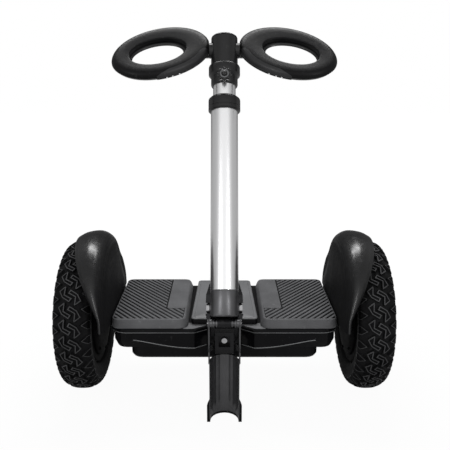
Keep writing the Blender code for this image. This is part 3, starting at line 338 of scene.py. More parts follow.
class NodeBench:
    """A node tree with short ways to add and join nodes."""

    def __init__(self, owner: bpy.types.Material | bpy.types.World) -> None:
        """Switch the owner's nodes on, and keep its tree and its main shader.

        Args:
            owner: The material or world.
        """
        owner.use_nodes = True
        self.tree = owner.node_tree
        self.shader = self.tree.nodes.get("Principled BSDF")

    def feed(self, node: bpy.types.Node, inputs: dict[str | int, Any]) -> None:
        """Set a node's inputs.

        Args:
            node: The node.
            inputs: Values or sockets for its inputs, by input name or index.
        """
        for key, value in inputs.items():
            if isinstance(value, bpy.types.NodeSocket):
                self.tree.links.new(value, node.inputs[key])
            else:
                node.inputs[key].default_value = value

    def add(
        self, kind: str, inputs: dict[str | int, Any] | None = None, **settings: Any
    ) -> bpy.types.Node:
        """Add a node.

        Args:
            kind: The node's type without the ShaderNode prefix.
            inputs: Values or sockets for its inputs, by input name or index.
            **settings: The node's own properties.

        Returns:
            The new node.
        """
        node = self.tree.nodes.new("ShaderNode" + kind)
        for key, value in settings.items():
            setattr(node, key, value)
        self.feed(node, inputs or {})
        return node

    def maths(
        self, operation: str, first: bpy.types.NodeSocket, second: bpy.types.NodeSocket | float
    ) -> bpy.types.NodeSocket:
        """Join two values by an operation."""
        return self.add("Math", {0: first, 1: second}, operation=operation).outputs[0]

    def place(self, turn: float, stretch: Triple) -> bpy.types.NodeSocket:
        """Give the piece's own coordinates.

        Args:
            turn: How far they are turned about X.
            stretch: How they are scaled after that.

        Returns:
            The coordinates.
        """
        source = self.add("TexCoord").outputs["Object"]
        level = self.add("Mapping", {"Vector": source, "Rotation": (turn, 0, 0)}).outputs[0]
        return self.add("Mapping", {"Vector": level, "Scale": stretch}).outputs[0]

    def noise(
        self, place: bpy.types.NodeSocket, scale: float, detail: float
    ) -> bpy.types.NodeSocket:
        """Add a noise texture and give its factor."""
        inputs = {"Vector": place, "Scale": scale, "Detail": detail}
        return self.add("TexNoise", inputs).outputs["Fac"]

    def ranged(self, value: bpy.types.NodeSocket, low: Pair, high: Pair) -> bpy.types.NodeSocket:
        """Map a value from the first span to the second, kept inside it."""
        inputs = {0: value, 1: low[0], 2: low[1], 3: high[0], 4: high[1]}
        return self.add("MapRange", inputs).outputs[0]

    def mixed(
        self,
        share: bpy.types.NodeSocket,
        first: bpy.types.NodeSocket | Triple,
        second: bpy.types.NodeSocket | Triple,
    ) -> bpy.types.NodeSocket:
        """Mix two colours.

        Args:
            share: How much of the second colour shows.
            first: The first colour.
            second: The second colour.

        Returns:
            The mixed colour.
        """
        inputs = {0: share}
        for index, colour in ((6, first), (7, second)):
            plain = not isinstance(colour, bpy.types.NodeSocket)
            inputs[index] = (*colour, 1) if plain else colour
        return self.add("Mix", inputs, data_type="RGBA").outputs[2]


@dataclass(frozen=True)
class Finish:
    """A surface finish: its colour, gloss, fine grain and how use has marked it.

    Attributes:
        name: The material's name.
        slot: The record's material slot.
        colour: The plain colour.
        roughness: The middle of its roughness.
        metallic: 1 for bare metal.
        grain: The kind of fine surface.
        bump: How deep the grain is.
        scale: Grains to the metre.
        mottle: How much the colour varies, as a share.
        scuff: The share of the surface that is rubbed lighter.
        coat: The weight of a clear gloss coat.
        coat_roughness: The coat's roughness.
        specular: The shader's specular level.
        glow: The strength of its painted glow, light of its own though it is no lamp.
        turn: Turns the grain about X, so that drawn metal follows its tube.
    """

    name: str
    slot: str
    colour: Triple
    roughness: float
    metallic: float = 0.0
    grain: Grain = Grain.MOULDED
    bump: float = 0.02
    scale: float = 2600.0
    mottle: float = 0.12
    scuff: float = 0.02
    coat: float = 0.0
    coat_roughness: float = 0.08
    specular: float = 0.4
    glow: float = 0.0
    turn: float = 0.0

    def made(self) -> bpy.types.Material:
        """Build the material the first time, and give the same one after that.

        Returns:
            The material.
        """
        name = "finish_" + self.name
        found = bpy.data.materials.get(name)
        if found:
            return found
        material = bpy.data.materials.new(name)
        bench = NodeBench(material)
        drawn = self.grain is Grain.DRAWN
        place = bench.place(self.turn, DRAWN_STRETCH if drawn else (1.0, 1.0, 1.0))
        clouds = bench.noise(place, CLOUD_SCALE, 4)
        patches = bench.noise(place, PATCH_SCALE, 3)
        darker = tuple(c * (1 - self.mottle) for c in self.colour)
        lighter = tuple(min(c * (1 + self.mottle) + 0.001, 1) for c in self.colour)
        rubbed = tuple(min(c * 1.5 + 0.02, 1) for c in self.colour)
        colour = bench.mixed(bench.ranged(clouds, NOISE_SPAN, (0, 1)), darker, lighter)
        start, end = SCUFF_SPAN
        scuffs = bench.ranged(patches, (start - self.scuff, end), (0, SCUFF_STRENGTH))
        spread = DRAWN_SPREAD if drawn else min(ROUGH_MOST, self.roughness * ROUGH_SHARE)
        rough = (self.roughness - spread, min(self.roughness + spread, 1))
        inputs = {
            "Base Color": bench.mixed(scuffs, colour, rubbed),
            "Roughness": bench.ranged(patches, NOISE_SPAN, rough),
            "Normal": self.relief(bench, place),
            "Metallic": self.metallic,
            "Coat Weight": self.coat,
            "Coat Roughness": self.coat_roughness,
            "Specular IOR Level": self.specular,
        }
        # A glow of the finish's own is painted light.
        if self.glow:
            inputs |= {"Emission Color": (*self.colour, 1), "Emission Strength": self.glow}
        bench.feed(bench.shader, inputs)
        return material

    def relief(self, bench: NodeBench, place: bpy.types.NodeSocket) -> bpy.types.NodeSocket:
        """Build the grain's bump.

        Args:
            bench: The material being built.
            place: The coordinates that the grain follows.

        Returns:
            The bumped normal.
        """
        if self.grain is Grain.PEBBLE:
            inputs = {"Vector": place, "Scale": self.scale}
            cells = bench.add("TexVoronoi", inputs, feature="SMOOTH_F1")
            height = cells.outputs["Distance"]
        elif self.grain is Grain.PEEL:
            height = bench.noise(place, self.scale * 0.12, 1)
        elif self.grain is Grain.CAST:
            height = bench.noise(place, self.scale * 0.5, 5)
        else:
            height = bench.noise(place, self.scale, 2)
        inputs = {"Height": height, "Distance": self.bump * MM, "Strength": 1.0}
        return bench.add("Bump", inputs).outputs[0]


def cover_shaded_finish(step: int, last: int) -> Finish:
    """Give one of the wheel cover's shaded copies of one black plastic.

    Args:
        step: 0 is the full gloss on its bulge; each later step is painted shade that reflects less
            and is a little lighter.
        last: The step of the satin on its flat wall, where the painted shade takes almost all
            reflection away.

    Returns:
        The finish.
    """
    lift = 0.0013 * step
    return Finish(
        f"cover_{step}", "black_plastic", (0.0042 + lift, 0.0042 + lift, 0.0048 + lift),
        0.25 + 0.055 * step, grain=Grain.PEEL, bump=0.0015, scale=2200, mottle=0.1, scuff=0.0,
        specular=0.01 + 0.49 * (1 - step / last) ** 2,
    )


TYRE_RUBBER = Finish(
    "tyre_rubber", "tyre_rubber", (0.0065, 0.0065, 0.007), 0.65, grain=Grain.CAST, bump=0.05,
    scale=1500, mottle=0.3, scuff=0.03, specular=0.03,
)
# Painted light: the tread's raised faces take a far lighter rubber than the rest of the tyre.
TREAD_FACE_PAINTED_LIGHT = Finish(
    "tread_face_painted_light", "tyre_rubber", (0.048, 0.048, 0.05), 0.55, grain=Grain.CAST, bump=0.04,
    scale=1800, mottle=0.35, scuff=0.1, specular=0.22,
)
# Painted shade: the depths of the grooves take a near-black rubber.
TREAD_GROOVE_PAINTED_SHADE = Finish(
    "tread_groove_painted_shade", "tyre_rubber", (0.005, 0.005, 0.0055), 0.7, grain=Grain.CAST, bump=0.05,
    scale=1500, mottle=0.3, scuff=0.0, specular=0.12,
)
# Shaded copies of the cover's plastic, from full gloss to the painted shade of the flat wall.
COVER_SHADED_FINISHES = tuple(cover_shaded_finish(step, 6) for step in range(7))
BODY_PLASTIC = Finish(
    "body_plastic", "black_plastic", (0.0045, 0.0045, 0.0052), 0.38, scale=2400, mottle=0.2,
    scuff=0.0, specular=0.1,
)
# A pale grey: the knob's ring in its own colour, and a painted highlight on the console's bevel and
# the lip's edge.
PALE_GREY_AND_HIGHLIGHT = Finish(
    "pale_grey_and_highlight", "black_plastic", (0.16, 0.163, 0.168), 0.34, bump=0.01, scale=2400,
    mottle=0.15,
)
HEAD_PLASTIC = Finish(
    "head_plastic", "black_plastic", (0.0095, 0.0095, 0.0102), 0.32, bump=0.015, scale=2800,
    mottle=0.15, scuff=0.0,
)
PAD_RUBBER = Finish(
    "pad_rubber", "pad_rubber", (0.118, 0.119, 0.124), 0.5, grain=Grain.PEBBLE, bump=0.03,
    scale=1400, mottle=0.16, scuff=0.03, specular=0.12,
)
# Painted shade: the bed between the ribs takes a near-black copy of the mat's rubber.
PAD_GROOVE_PAINTED_SHADE = Finish(
    "pad_groove_painted_shade", "pad_rubber", (0.005, 0.005, 0.0055), 0.7, grain=Grain.PEBBLE, bump=0.03,
    scale=1400, mottle=0.2, scuff=0.0, specular=0.1,
)
CONSOLE_PLASTIC = Finish(
    "console_plastic", "grey_plastic", (0.16, 0.162, 0.168), 0.46, grain=Grain.PEBBLE,
    mottle=0.1, specular=0.25,
)
SMOKED_LENS = Finish(
    "smoked_lens", "smoked_lens", (0.004, 0.004, 0.0048), 0.12, grain=Grain.PEEL, bump=0.004,
    scale=1400, mottle=0.1, scuff=0.0, specular=0.1,
)
PALE_LENS_BEAD = Finish(
    "lens_edge_bead", "smoked_lens", (0.2, 0.205, 0.21), 0.3, grain=Grain.PEEL, bump=0.01, scale=900,
    mottle=0.08, scuff=0.0,
)
SILVER_TUBE = Finish(
    "silver_tube", "silver_tube", (0.88, 0.882, 0.89), 0.3, metallic=1.0, grain=Grain.DRAWN,
    bump=0.0006, scale=1500, mottle=0.01, scuff=0.0, turn=COLUMN_LEAN,
)
BLACK_METAL = Finish(
    "black_metal", "black_metal", (0.125, 0.125, 0.13), 0.34, metallic=0.75, grain=Grain.CAST,
    bump=0.015, scale=2400, mottle=0.2, specular=0.2,
)
HINGE_METAL = Finish(
    "hinge_metal", "black_metal", (0.022, 0.022, 0.0235), 0.3, metallic=0.7, grain=Grain.CAST,
    bump=0.01, scale=2400, mottle=0.15, scuff=0.01, specular=0.2,
)
LEG_METAL = Finish(
    "leg_metal", "black_metal", (0.11, 0.11, 0.114), 0.2, metallic=0.7, grain=Grain.CAST,
    bump=0.01, scale=2400, mottle=0.15, scuff=0.01, specular=0.2,
)
MOTOR_METAL = Finish(
    "motor_metal", "black_metal", (0.0035, 0.0035, 0.0038), 0.6, grain=Grain.CAST, bump=0.03,
    scale=1900, mottle=0.2, scuff=0.01, specular=0.01,
)
CAST_METAL = Finish(
    "cast_metal", "cast_metal", (0.26, 0.26, 0.27), 0.5, metallic=0.9, grain=Grain.CAST,
    bump=0.12, scale=1100, mottle=0.15, scuff=0.04,
)
ZINC_STEEL = Finish(
    "zinc_steel", "steel", (0.50, 0.50, 0.51), 0.3, metallic=1.0, grain=Grain.CAST, scale=2000,
    mottle=0.1, scuff=0.03,
)
DARK_STEEL = Finish(
    "dark_steel", "steel", (0.13, 0.13, 0.135), 0.24, metallic=1.0, grain=Grain.CAST, bump=0.01,
    scale=2000, mottle=0.15,
)
SOFT_GRIP = Finish(
    "soft_grip", "soft_grip", (0.006, 0.006, 0.0066), 0.4, grain=Grain.PEBBLE, bump=0.01,
    scale=3000, mottle=0.15, scuff=0.0, specular=0.12,
)
TRIM_GREY = Finish(
    "trim_grey", "grey_plastic", (0.026, 0.0262, 0.0275), 0.38, bump=0.01, mottle=0.08,
    scuff=0.01, specular=0.3,
)
# White dots with a painted glow: they light themselves though they are no lamps.
DOT_PAINTED_GLOW = Finish(
    "dot_painted_glow", "grey_plastic", (0.80, 0.80, 0.81), 0.35, bump=0.01, mottle=0.05, scuff=0.0,
    glow=0.2,
)
RED_LENS = Finish(
    "red_lens", "red_lens", (0.16, 0.006, 0.006), 0.16, grain=Grain.PEEL, bump=0.01, scale=1400,
    mottle=0.15, scuff=0.0, coat=0.5, coat_roughness=0.05,
)
WINDING = Finish(
    "winding", "winding", (0.45, 0.19, 0.08), 0.4, metallic=0.8, grain=Grain.DRAWN, bump=0.08,
    scale=900,
)
CIRCUIT = Finish(
    "circuit", "circuit", (0.015, 0.07, 0.035), 0.45, grain=Grain.PEBBLE, bump=0.05, scale=500,
    mottle=0.3,
)
CELL_WRAP = Finish(
    "cell_wrap", "cell_wrap", (0.03, 0.06, 0.16), 0.4, grain=Grain.PEEL, bump=0.05, scale=900,
)
NYLON = Finish("nylon", "nylon", (0.62, 0.62, 0.58), 0.55, bump=0.03, scale=1800, mottle=0.06)


def made_piece(
    name: str,
    bm: bmesh.types.BMesh,
    finishes: Finish | Sequence[Finish],
    body: Body,
    replaces: Iterable[str] = (),
    sharp: float = 38,
) -> bpy.types.Object:
    """Turn a mesh into a dressed piece of the object.

    Args:
        name: The piece's name.
        bm: Its mesh, which is freed.
        finishes: Its finish, or several that its faces take by their number.
        body: The frame's body that it rides on.
        replaces: The CAD nodes that it stands for.
        sharp: Edges bent by more degrees than this stay crisp.

    Returns:
        The new object.
    """
    bmesh.ops.remove_doubles(bm, verts=bm.verts, dist=1e-6)
    bmesh.ops.recalc_face_normals(bm, faces=bm.faces)
    mesh = bpy.data.meshes.new(name)
    bm.to_mesh(mesh)
    bm.free()
    mesh.shade_smooth()
    mesh.set_sharp_from_angle(angle=math.radians(sharp))
    chosen = [finishes] if isinstance(finishes, Finish) else finishes
    for finish in chosen:
        mesh.materials.append(finish.made())
    obj = bpy.data.objects.new(name, mesh)
    bpy.context.scene.collection.objects.link(obj)
    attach(obj, body.value)
    nodes = tuple(replaces)
    if nodes:
        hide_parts(*nodes)
    LOG.info("piece %s: %d faces", name, len(mesh.polygons))
    return obj


@dataclass
class OffRoadTyre:
    """An off-road tyre: a carcass with ringed walls under hollowed tread blocks.

    Tread outlines run across the wheel and along its rim, as seen from the front. Their levels are
    pairs of inset and height over the crown.
    """

    radius: float = 128.0
    pitches: int = 31
    drawn_pitch: float = 28.3
    depth: float = 4.5
    crown: tuple[Pair, ...] = (
        (0, 128), (15, 126.1), (27, 118.4), (30, 107.5), (25.8, 90.3), (18.7, 84.3),
    )
    bead: tuple[Pair, ...] = ((18.4, 79.4), (13, 79.4), (-13, 79.4), (-18.4, 79.4))
    block: tuple[Pair, ...] = (
        (-8.2, 17.2), (-18.5, 8.6), (-12.5, -3.4), (-0.4, -11.6), (3.4, -4.3), (-7.8, 2.2),
        (-6.9, 15.5),
    )
    block_levels: tuple[Pair, ...] = ((-0.5, -5), (0, -0.6), (0.45, 0), (2, 0), (2.5, -1.25))
    lug: tuple[Pair, ...] = (
        (-17.2, -5.2), (-29.5, 3.0), (-38.5, 3.6), (-38.5, -13.4), (-29.5, -14.0),
    )
    lug_levels: tuple[Pair, ...] = ((-0.4, -5), (0, -0.6), (0.45, 0), (1.5, 0), (1.9, -0.9))
    bar: tuple[Pair, ...] = ((-2.6, 5.9), (-4.0, 3.8), (7.0, -2.5), (8.4, -0.4))
    bar_levels: tuple[Pair, ...] = ((-0.2, -5), (0, -0.9), (0.3, -0.4))
    facets: Pair = (3.0, 4.5)
    # Heights over the crown above which tread faces take painted light and below which they take
    # painted shade, and the radius beyond which the carcass between the blocks takes painted shade.
    painted_light_above: float = -0.3
    painted_shade_below: float = -1.9
    painted_shade_radius: float = 107.0
    shoulder: Pair = (22.0, 40.0)
    wall_rings: Triple = (50.0, 53.5, 57.0)
    wall_ring: Pair = (0.9, 0.5)
    wall_depth: float = 0.3
    crown_steps: int = 12
    carcass_steps: int = 44
    sides: int = 140
    table: list[tuple[float, Vector, Vector]] = field(init=False, default_factory=list)

    def __post_init__(self) -> None:
        """Measure the crown's outline from the middle of the tread outwards."""
        mirrored = [(-x, r) for x, r in self.crown[:0:-1]] + list(self.crown)
        line = smooth_through(mirrored, self.crown_steps)
        middle = len(line) // 2
        run = 0.0
        for i in range(middle, len(line)):
            if i > middle:
                run += (line[i] - line[i - 1]).length
            way = (line[min(i + 1, len(line) - 1)] - line[i - 1]).normalized()
            self.table.append((run, line[i], Vector((-way.y, way.x))))

    @property
    def pitch_length(self) -> float:
        """Give the rim's length that one repeat of the tread takes."""
        return 2 * math.pi * self.radius / self.pitches

    def on_crown(self, across: float, height: float) -> Vector:
        """Find a point by its distance across the tread and its height over the crown.

        Args:
            across: Arc length from the middle of the tread.
            height: Distance out of the crown's surface.

        Returns:
            The point as distance along the axle and radius.
        """
        reach = min(abs(across), self.table[-1][0] - 0.01)
        for (near, a, normal_a), (far, b, normal_b) in zip(self.table, self.table[1:]):
            if reach <= far:
                share = (reach - near) / (far - near)
                point = a.lerp(b, share) + normal_a.lerp(normal_b, share) * height
                return Vector((math.copysign(point.x, across), point.y))
        return Vector((0, self.radius))

    def placed(self, centre_x: float, across: float, run: float, height: float) -> Vector:
        """Bring a tread point to the wheel.

        Args:
            centre_x: The wheel's middle.
            across: Arc length from the middle of the tread.
            run: Distance along the rim from the wheel's front.
            height: Distance out of the crown's surface.

        Returns:
            The point in metres.
        """
        side, reach = self.on_crown(across, height)
        angle = run / self.radius
        y, z = -reach * math.cos(angle), AXLE_HEIGHT + reach * math.sin(angle)
        return Vector((centre_x + side, y, z)) * MM

    def raised(self, outline: Sequence[Pair], levels: Sequence[Pair]) -> bmesh.types.BMesh:
        """Build a tread block in flat tread space, cut finely enough to bend round the wheel.

        Args:
            outline: Its plan, counter-clockwise.
            levels: Pairs of inset and height, from its root to the last face.

        Returns:
            A mesh of (across, run, height) points.
        """
        rings = []
        for inset, height in levels:
            rings.append([Vector((x, y, height)) for x, y in inset_outline(outline, inset)])
        bm = loft(rings)
        for axis, step in enumerate(self.facets):
            places = [v.co[axis] for v in bm.verts]
            cut, high = math.ceil(min(places) / step) * step, max(places)
            normal = Vector((1 - axis, axis, 0))
            while cut < high:
                cut_through(bm, normal * cut, normal)
                cut += step
        bmesh.ops.triangulate(bm, faces=[f for f in bm.faces if len(f.verts) > 4])
        return bm

    def pitch(self) -> tuple[list[Vector], list[tuple[int, ...]], list[int]]:
        """Build one repeat of the tread: two blocks, two lugs and a bar.

        Returns:
            Its flat points, its faces and the number of each face's finish, which paints light on
            high faces and shade on deep ones.
        """
        parts = []
        for outline, levels, is_paired in (
            (self.block, self.block_levels, True),
            (self.lug, self.lug_levels, True),
            (self.bar, self.bar_levels, False),
        ):
            ring = list(outline)
            area = sum(a[0] * b[1] - b[0] * a[1] for a, b in zip(ring, ring[1:] + ring[:1]))
            if area < 0:
                ring.reverse()
            parts.append(self.raised(ring, levels))
            if is_paired:
                parts.append(self.raised([(-x, -y) for x, y in ring], levels))
        whole = merged(*parts)
        stretch = self.pitch_length / self.drawn_pitch
        points = [Vector((v.co.x, v.co.y * stretch, v.co.z)) for v in whole.verts]
        whole.verts.index_update()
        faces = [tuple(v.index for v in f.verts) for f in whole.faces]
        # Painted light and shade by height: high faces lighter, deep faces near black.
        painted_tones = []
        for face in whole.faces:
            height = sum(v.co.z for v in face.verts) / len(face.verts)
            painted_tones.append(1 if height > self.painted_light_above else 2 if height < self.painted_shade_below else 0)
        whole.free()
        return points, faces, painted_tones

    def carcass(self, centre_x: float) -> bmesh.types.BMesh:
        """Build the tyre's body under the tread, with fine rings moulded on its walls.

        Args:
            centre_x: The wheel's middle.

        Returns:
            A new mesh whose faces between the blocks have the groove's painted shade.
        """
        profile = []
        reach = self.table[-1][0]
        width, proud = self.wall_ring
        for i in range(-self.carcass_steps, self.carcass_steps + 1):
            across = reach * i / self.carcass_steps
            rise = (self.depth - self.wall_depth) * eased(abs(across), *self.shoulder)
            height = rise - self.depth
            for ring_at in self.wall_rings:
                height += proud * math.exp(-(((abs(across) - ring_at) / width) ** 2))
            profile.append(tuple(self.on_crown(across, height)))
        bm = turned([*profile, *self.bead], along_x(centre_x, AXLE_HEIGHT), self.sides)
        # Painted shade on the carcass between the blocks.
        for face in bm.faces:
            spot = face.calc_center_median() / MM
            if math.hypot(spot.y, spot.z - AXLE_HEIGHT) > self.painted_shade_radius:
                face.material_index = 2
        return bm

    def build(self) -> None:
        """Build both tyres and dress them."""
        points, faces, painted_tones = self.pitch()
        for side, sign in SIDES:
            centre = sign * WHEEL_X
            tread = bmesh.new()
            for repeat in range(self.pitches):
                start = repeat * self.pitch_length
                spots = [self.placed(centre, p.x, p.y + start, p.z) for p in points]
                made = [tread.verts.new(spot) for spot in spots]
                for corners, tone in zip(faces, painted_tones):
                    tread.faces.new([made[i] for i in corners]).material_index = tone
            whole = merged(tread, self.carcass(centre))
            finishes = (TYRE_RUBBER, TREAD_FACE_PAINTED_LIGHT, TREAD_GROOVE_PAINTED_SHADE)
            made_piece(
                f"tread_tyre_{side}", whole, finishes, Body(f"wheel_{side}"), [f"tyre_{side}"], 30
            )


@dataclass
class HubMotor:
    """The motor's shell and inner cover, turned finely, each with a ring of screws."""

    seat: float = 79.0
    flange: float = 4.5
    half_width: float = 23.5
    bore: float = 72.5
    face: float = 16.0
    hole: float = 16.3
    shell_screws: int = 6
    shell_screw_circle: float = 21.0
    cover_screws: int = 8
    cover_screw_inset: float = 7.0
    sides: int = 112

    def shell(self, place: Matrix) -> bmesh.types.BMesh:
        """Build the shell, which is the wheel's rim and outer face in one, with its screws.

        Args:
            place: Takes the local Z axis to the axle, outwards.

        Returns:
            A new mesh.
        """
        edge, bore, face, lip = self.half_width, self.bore, self.face, self.seat + self.flange
        profile = [
            (face + 4, 0), (face + 4, 27), (face + 3.2, 28.6), (face + 0.4, 35), (face, 36.5),
            (face + 1.2, 50), (edge - 4.5, bore - 4), (edge - 1.6, bore + 1.5),
            (edge, self.seat + 2), (edge, lip - 1), (edge - 0.8, lip),
            (edge - self.flange, self.seat), (self.flange - edge, self.seat), (0.8 - edge, lip),
            (-edge, lip - 1), (-edge, bore), (face - 3.5, bore), (face - 3.5, 0),
        ]
        head = [
            (face + 3.6, 0), (face + 3.6, 3.1), (face + 5.2, 3.1), (face + 5.8, 2.5),
            (face + 5.8, 1.4), (face + 4.8, 1.3), (face + 4.8, 0),
        ]
        parts = [turned(profile, place, self.sides)]
        for i in range(self.shell_screws):
            turn = Matrix.Rotation(2 * math.pi * (i + 0.5) / self.shell_screws, 4, "Z")
            parts.append(turned(head, place @ turn @ moved(self.shell_screw_circle, 0, 0), 24))
        return merged(*parts)

    def cover(self, place: Matrix) -> bmesh.types.BMesh:
        """Build the cover that closes the shell's inner side, with its screws.

        Args:
            place: Takes the local Z axis to the axle, outwards.

        Returns:
            A new mesh.
        """
        edge, fit, hole = self.half_width, self.bore - GAP, self.hole
        profile = [
            (-edge - 6.6, hole), (-edge - 7, hole + 0.7), (-edge - 7, fit - 15),
            (-edge - 6.4, fit - 12.5), (-edge - 3.9, fit - 1.2), (-edge - 3, fit),
            (-edge + 2, fit), (-edge - 2, fit - 14), (-edge + 3, hole),
        ]
        head = [(-edge - 7.6, 0), (-edge - 7.4, 2), (-edge - 4, 2.6), (-edge - 4, 0)]
        parts = [turned(profile, place, self.sides)]
        for i in range(self.cover_screws):
            turn = Matrix.Rotation(2 * math.pi * i / self.cover_screws, 4, "Z")
            spot = place @ turn @ moved(fit - self.cover_screw_inset, 0, 0)
            parts.append(turned(head, spot, 20))
        return merged(*parts)

    def build(self) -> None:
        """Build both wheels' motor shells and covers."""
        for side, sign in SIDES:
            place, body = along_x(sign * WHEEL_X, AXLE_HEIGHT, sign), Body(f"wheel_{side}")
            shell, cover = self.shell(place), self.cover(place)
            made_piece(f"hub_motor_{side}", shell, MOTOR_METAL, body, [f"motor_shell_{side}"])
            made_piece(f"hub_cover_{side}", cover, MOTOR_METAL, body, [f"motor_cover_{side}"])


@dataclass
class WheelFender:
    """The bulbous cover over a wheel's inner side and top, lofted smoothly round the axle.

    Its wall stands beside the foot mats and its roof reaches out over the tyre. The roof's points
    are shares of its width and of the cover's radius.
    """

    radius: float = 144.5
    wall: float = 3.0
    edge_round: float = 0.8
    tip_angle: float = math.radians(10)
    rear_tip_angle: float = math.radians(3)
    flare: float = 7.0
    flare_span: Pair = (math.radians(95), math.radians(155))
    eye: float = 17.0
    waist: Pair = (0.55, 0.3)
    brow: float = 0.8
    foot_x: float = 183.8
    shoulder_x: float = 188.5
    bend: Pair = (145.0, 200.0)
    tip_reach: float = 186.0
    top_reach: float = 248.0
    least_width: float = 10.0
    roof: tuple[Pair, ...] = (
        (0.02, 0.8), (0.09, 0.9), (0.25, 0.965), (0.48, 1), (0.8, 0.985), (1, 0.945),
    )
    steps: int = 84
    # Where each next shaded copy of the cover's plastic starts, by how far a face turns to the
    # side.
    shade_limits: tuple[float, ...] = (0.5, 0.62, 0.74, 0.84, 0.92, 0.98)

    def wall_x(self, angle: float, radius: float) -> float:
        """Say how far out the wall stands at a place, before it leans."""
        share = eased(AXLE_HEIGHT + radius * math.sin(angle), *self.bend)
        return self.foot_x + (self.shoulder_x - self.foot_x) * share

    def section(self, angle: float) -> list[Vector]:
        """Draw the cover's outer outline at an angle round the wheel.

        Args:
            angle: 0 at the wheel's front, a quarter turn at its top.

        Returns:
            Points of distance from the middle of the body and radius, from the eye to the edge.
        """
        span = min((angle - self.tip_angle) / (math.pi - 2 * self.tip_angle), 1)
        reach = self.tip_reach + (self.top_reach - self.tip_reach) * math.sin(math.pi * span)
        # Towards the rear the wall's rim leans out over the tyre.
        lean = self.flare * eased(angle, *self.flare_span)
        middle, share = self.waist[0] * self.radius, self.waist[1]
        wall = self.wall_x(angle, self.brow * self.radius) + lean
        width = max(reach - wall, self.least_width)
        cage = [
            (self.wall_x(angle, self.eye), self.eye),
            (self.wall_x(angle, middle) + lean * share, middle),
        ]
        cage += [(wall + across * width, up * self.radius) for across, up in self.roof]
        return smooth_through(cage, 5)

    def ring(self, angle: float, sign: int) -> list[Vector]:
        """Give the outline its wall thickness and a rounded edge.

        Args:
            angle: The angle round the wheel.
            sign: 1 to the right and -1 to the left.

        Returns:
            The closed section's points in metres.
        """
        outer = self.section(angle)
        inner = []
        for k, point in enumerate(outer):
            along = (outer[min(k + 1, len(outer) - 1)] - outer[max(k - 1, 0)]).normalized()
            inner.append(point + Vector((along.y, -along.x)) * self.wall)
        outward = (outer[-1] - outer[-2]).normalized()
        edge = (outer[-1] + inner[-1]) / 2 + outward * self.edge_round
        sine, cosine = math.sin(angle), math.cos(angle)
        return [
            Vector((sign * x, -r * cosine, AXLE_HEIGHT + r * sine)) * MM
            for x, r in [*outer, edge, *inner[::-1]]
        ]

    def build(self) -> None:
        """Build both covers and dress them, from gloss on the bulge to painted shade, dull as
        satin, on the wall.
        """
        sweep = math.pi - self.tip_angle - self.rear_tip_angle
        for side, sign in SIDES:
            angles = [self.tip_angle + sweep * i / self.steps for i in range(self.steps + 1)]
            whole = loft([self.ring(angle, sign) for angle in angles])
            cover = made_piece(
                f"wheel_cover_{side}", whole, COVER_SHADED_FINISHES, Body.CHASSIS, [f"fender_{side}"], 50
            )
            # Painted shade: the more a face turns to the side, the less it reflects.
            for face in cover.data.polygons:
                flatness = abs(face.normal.x)
                face.material_index = sum(flatness > limit for limit in self.shade_limits)


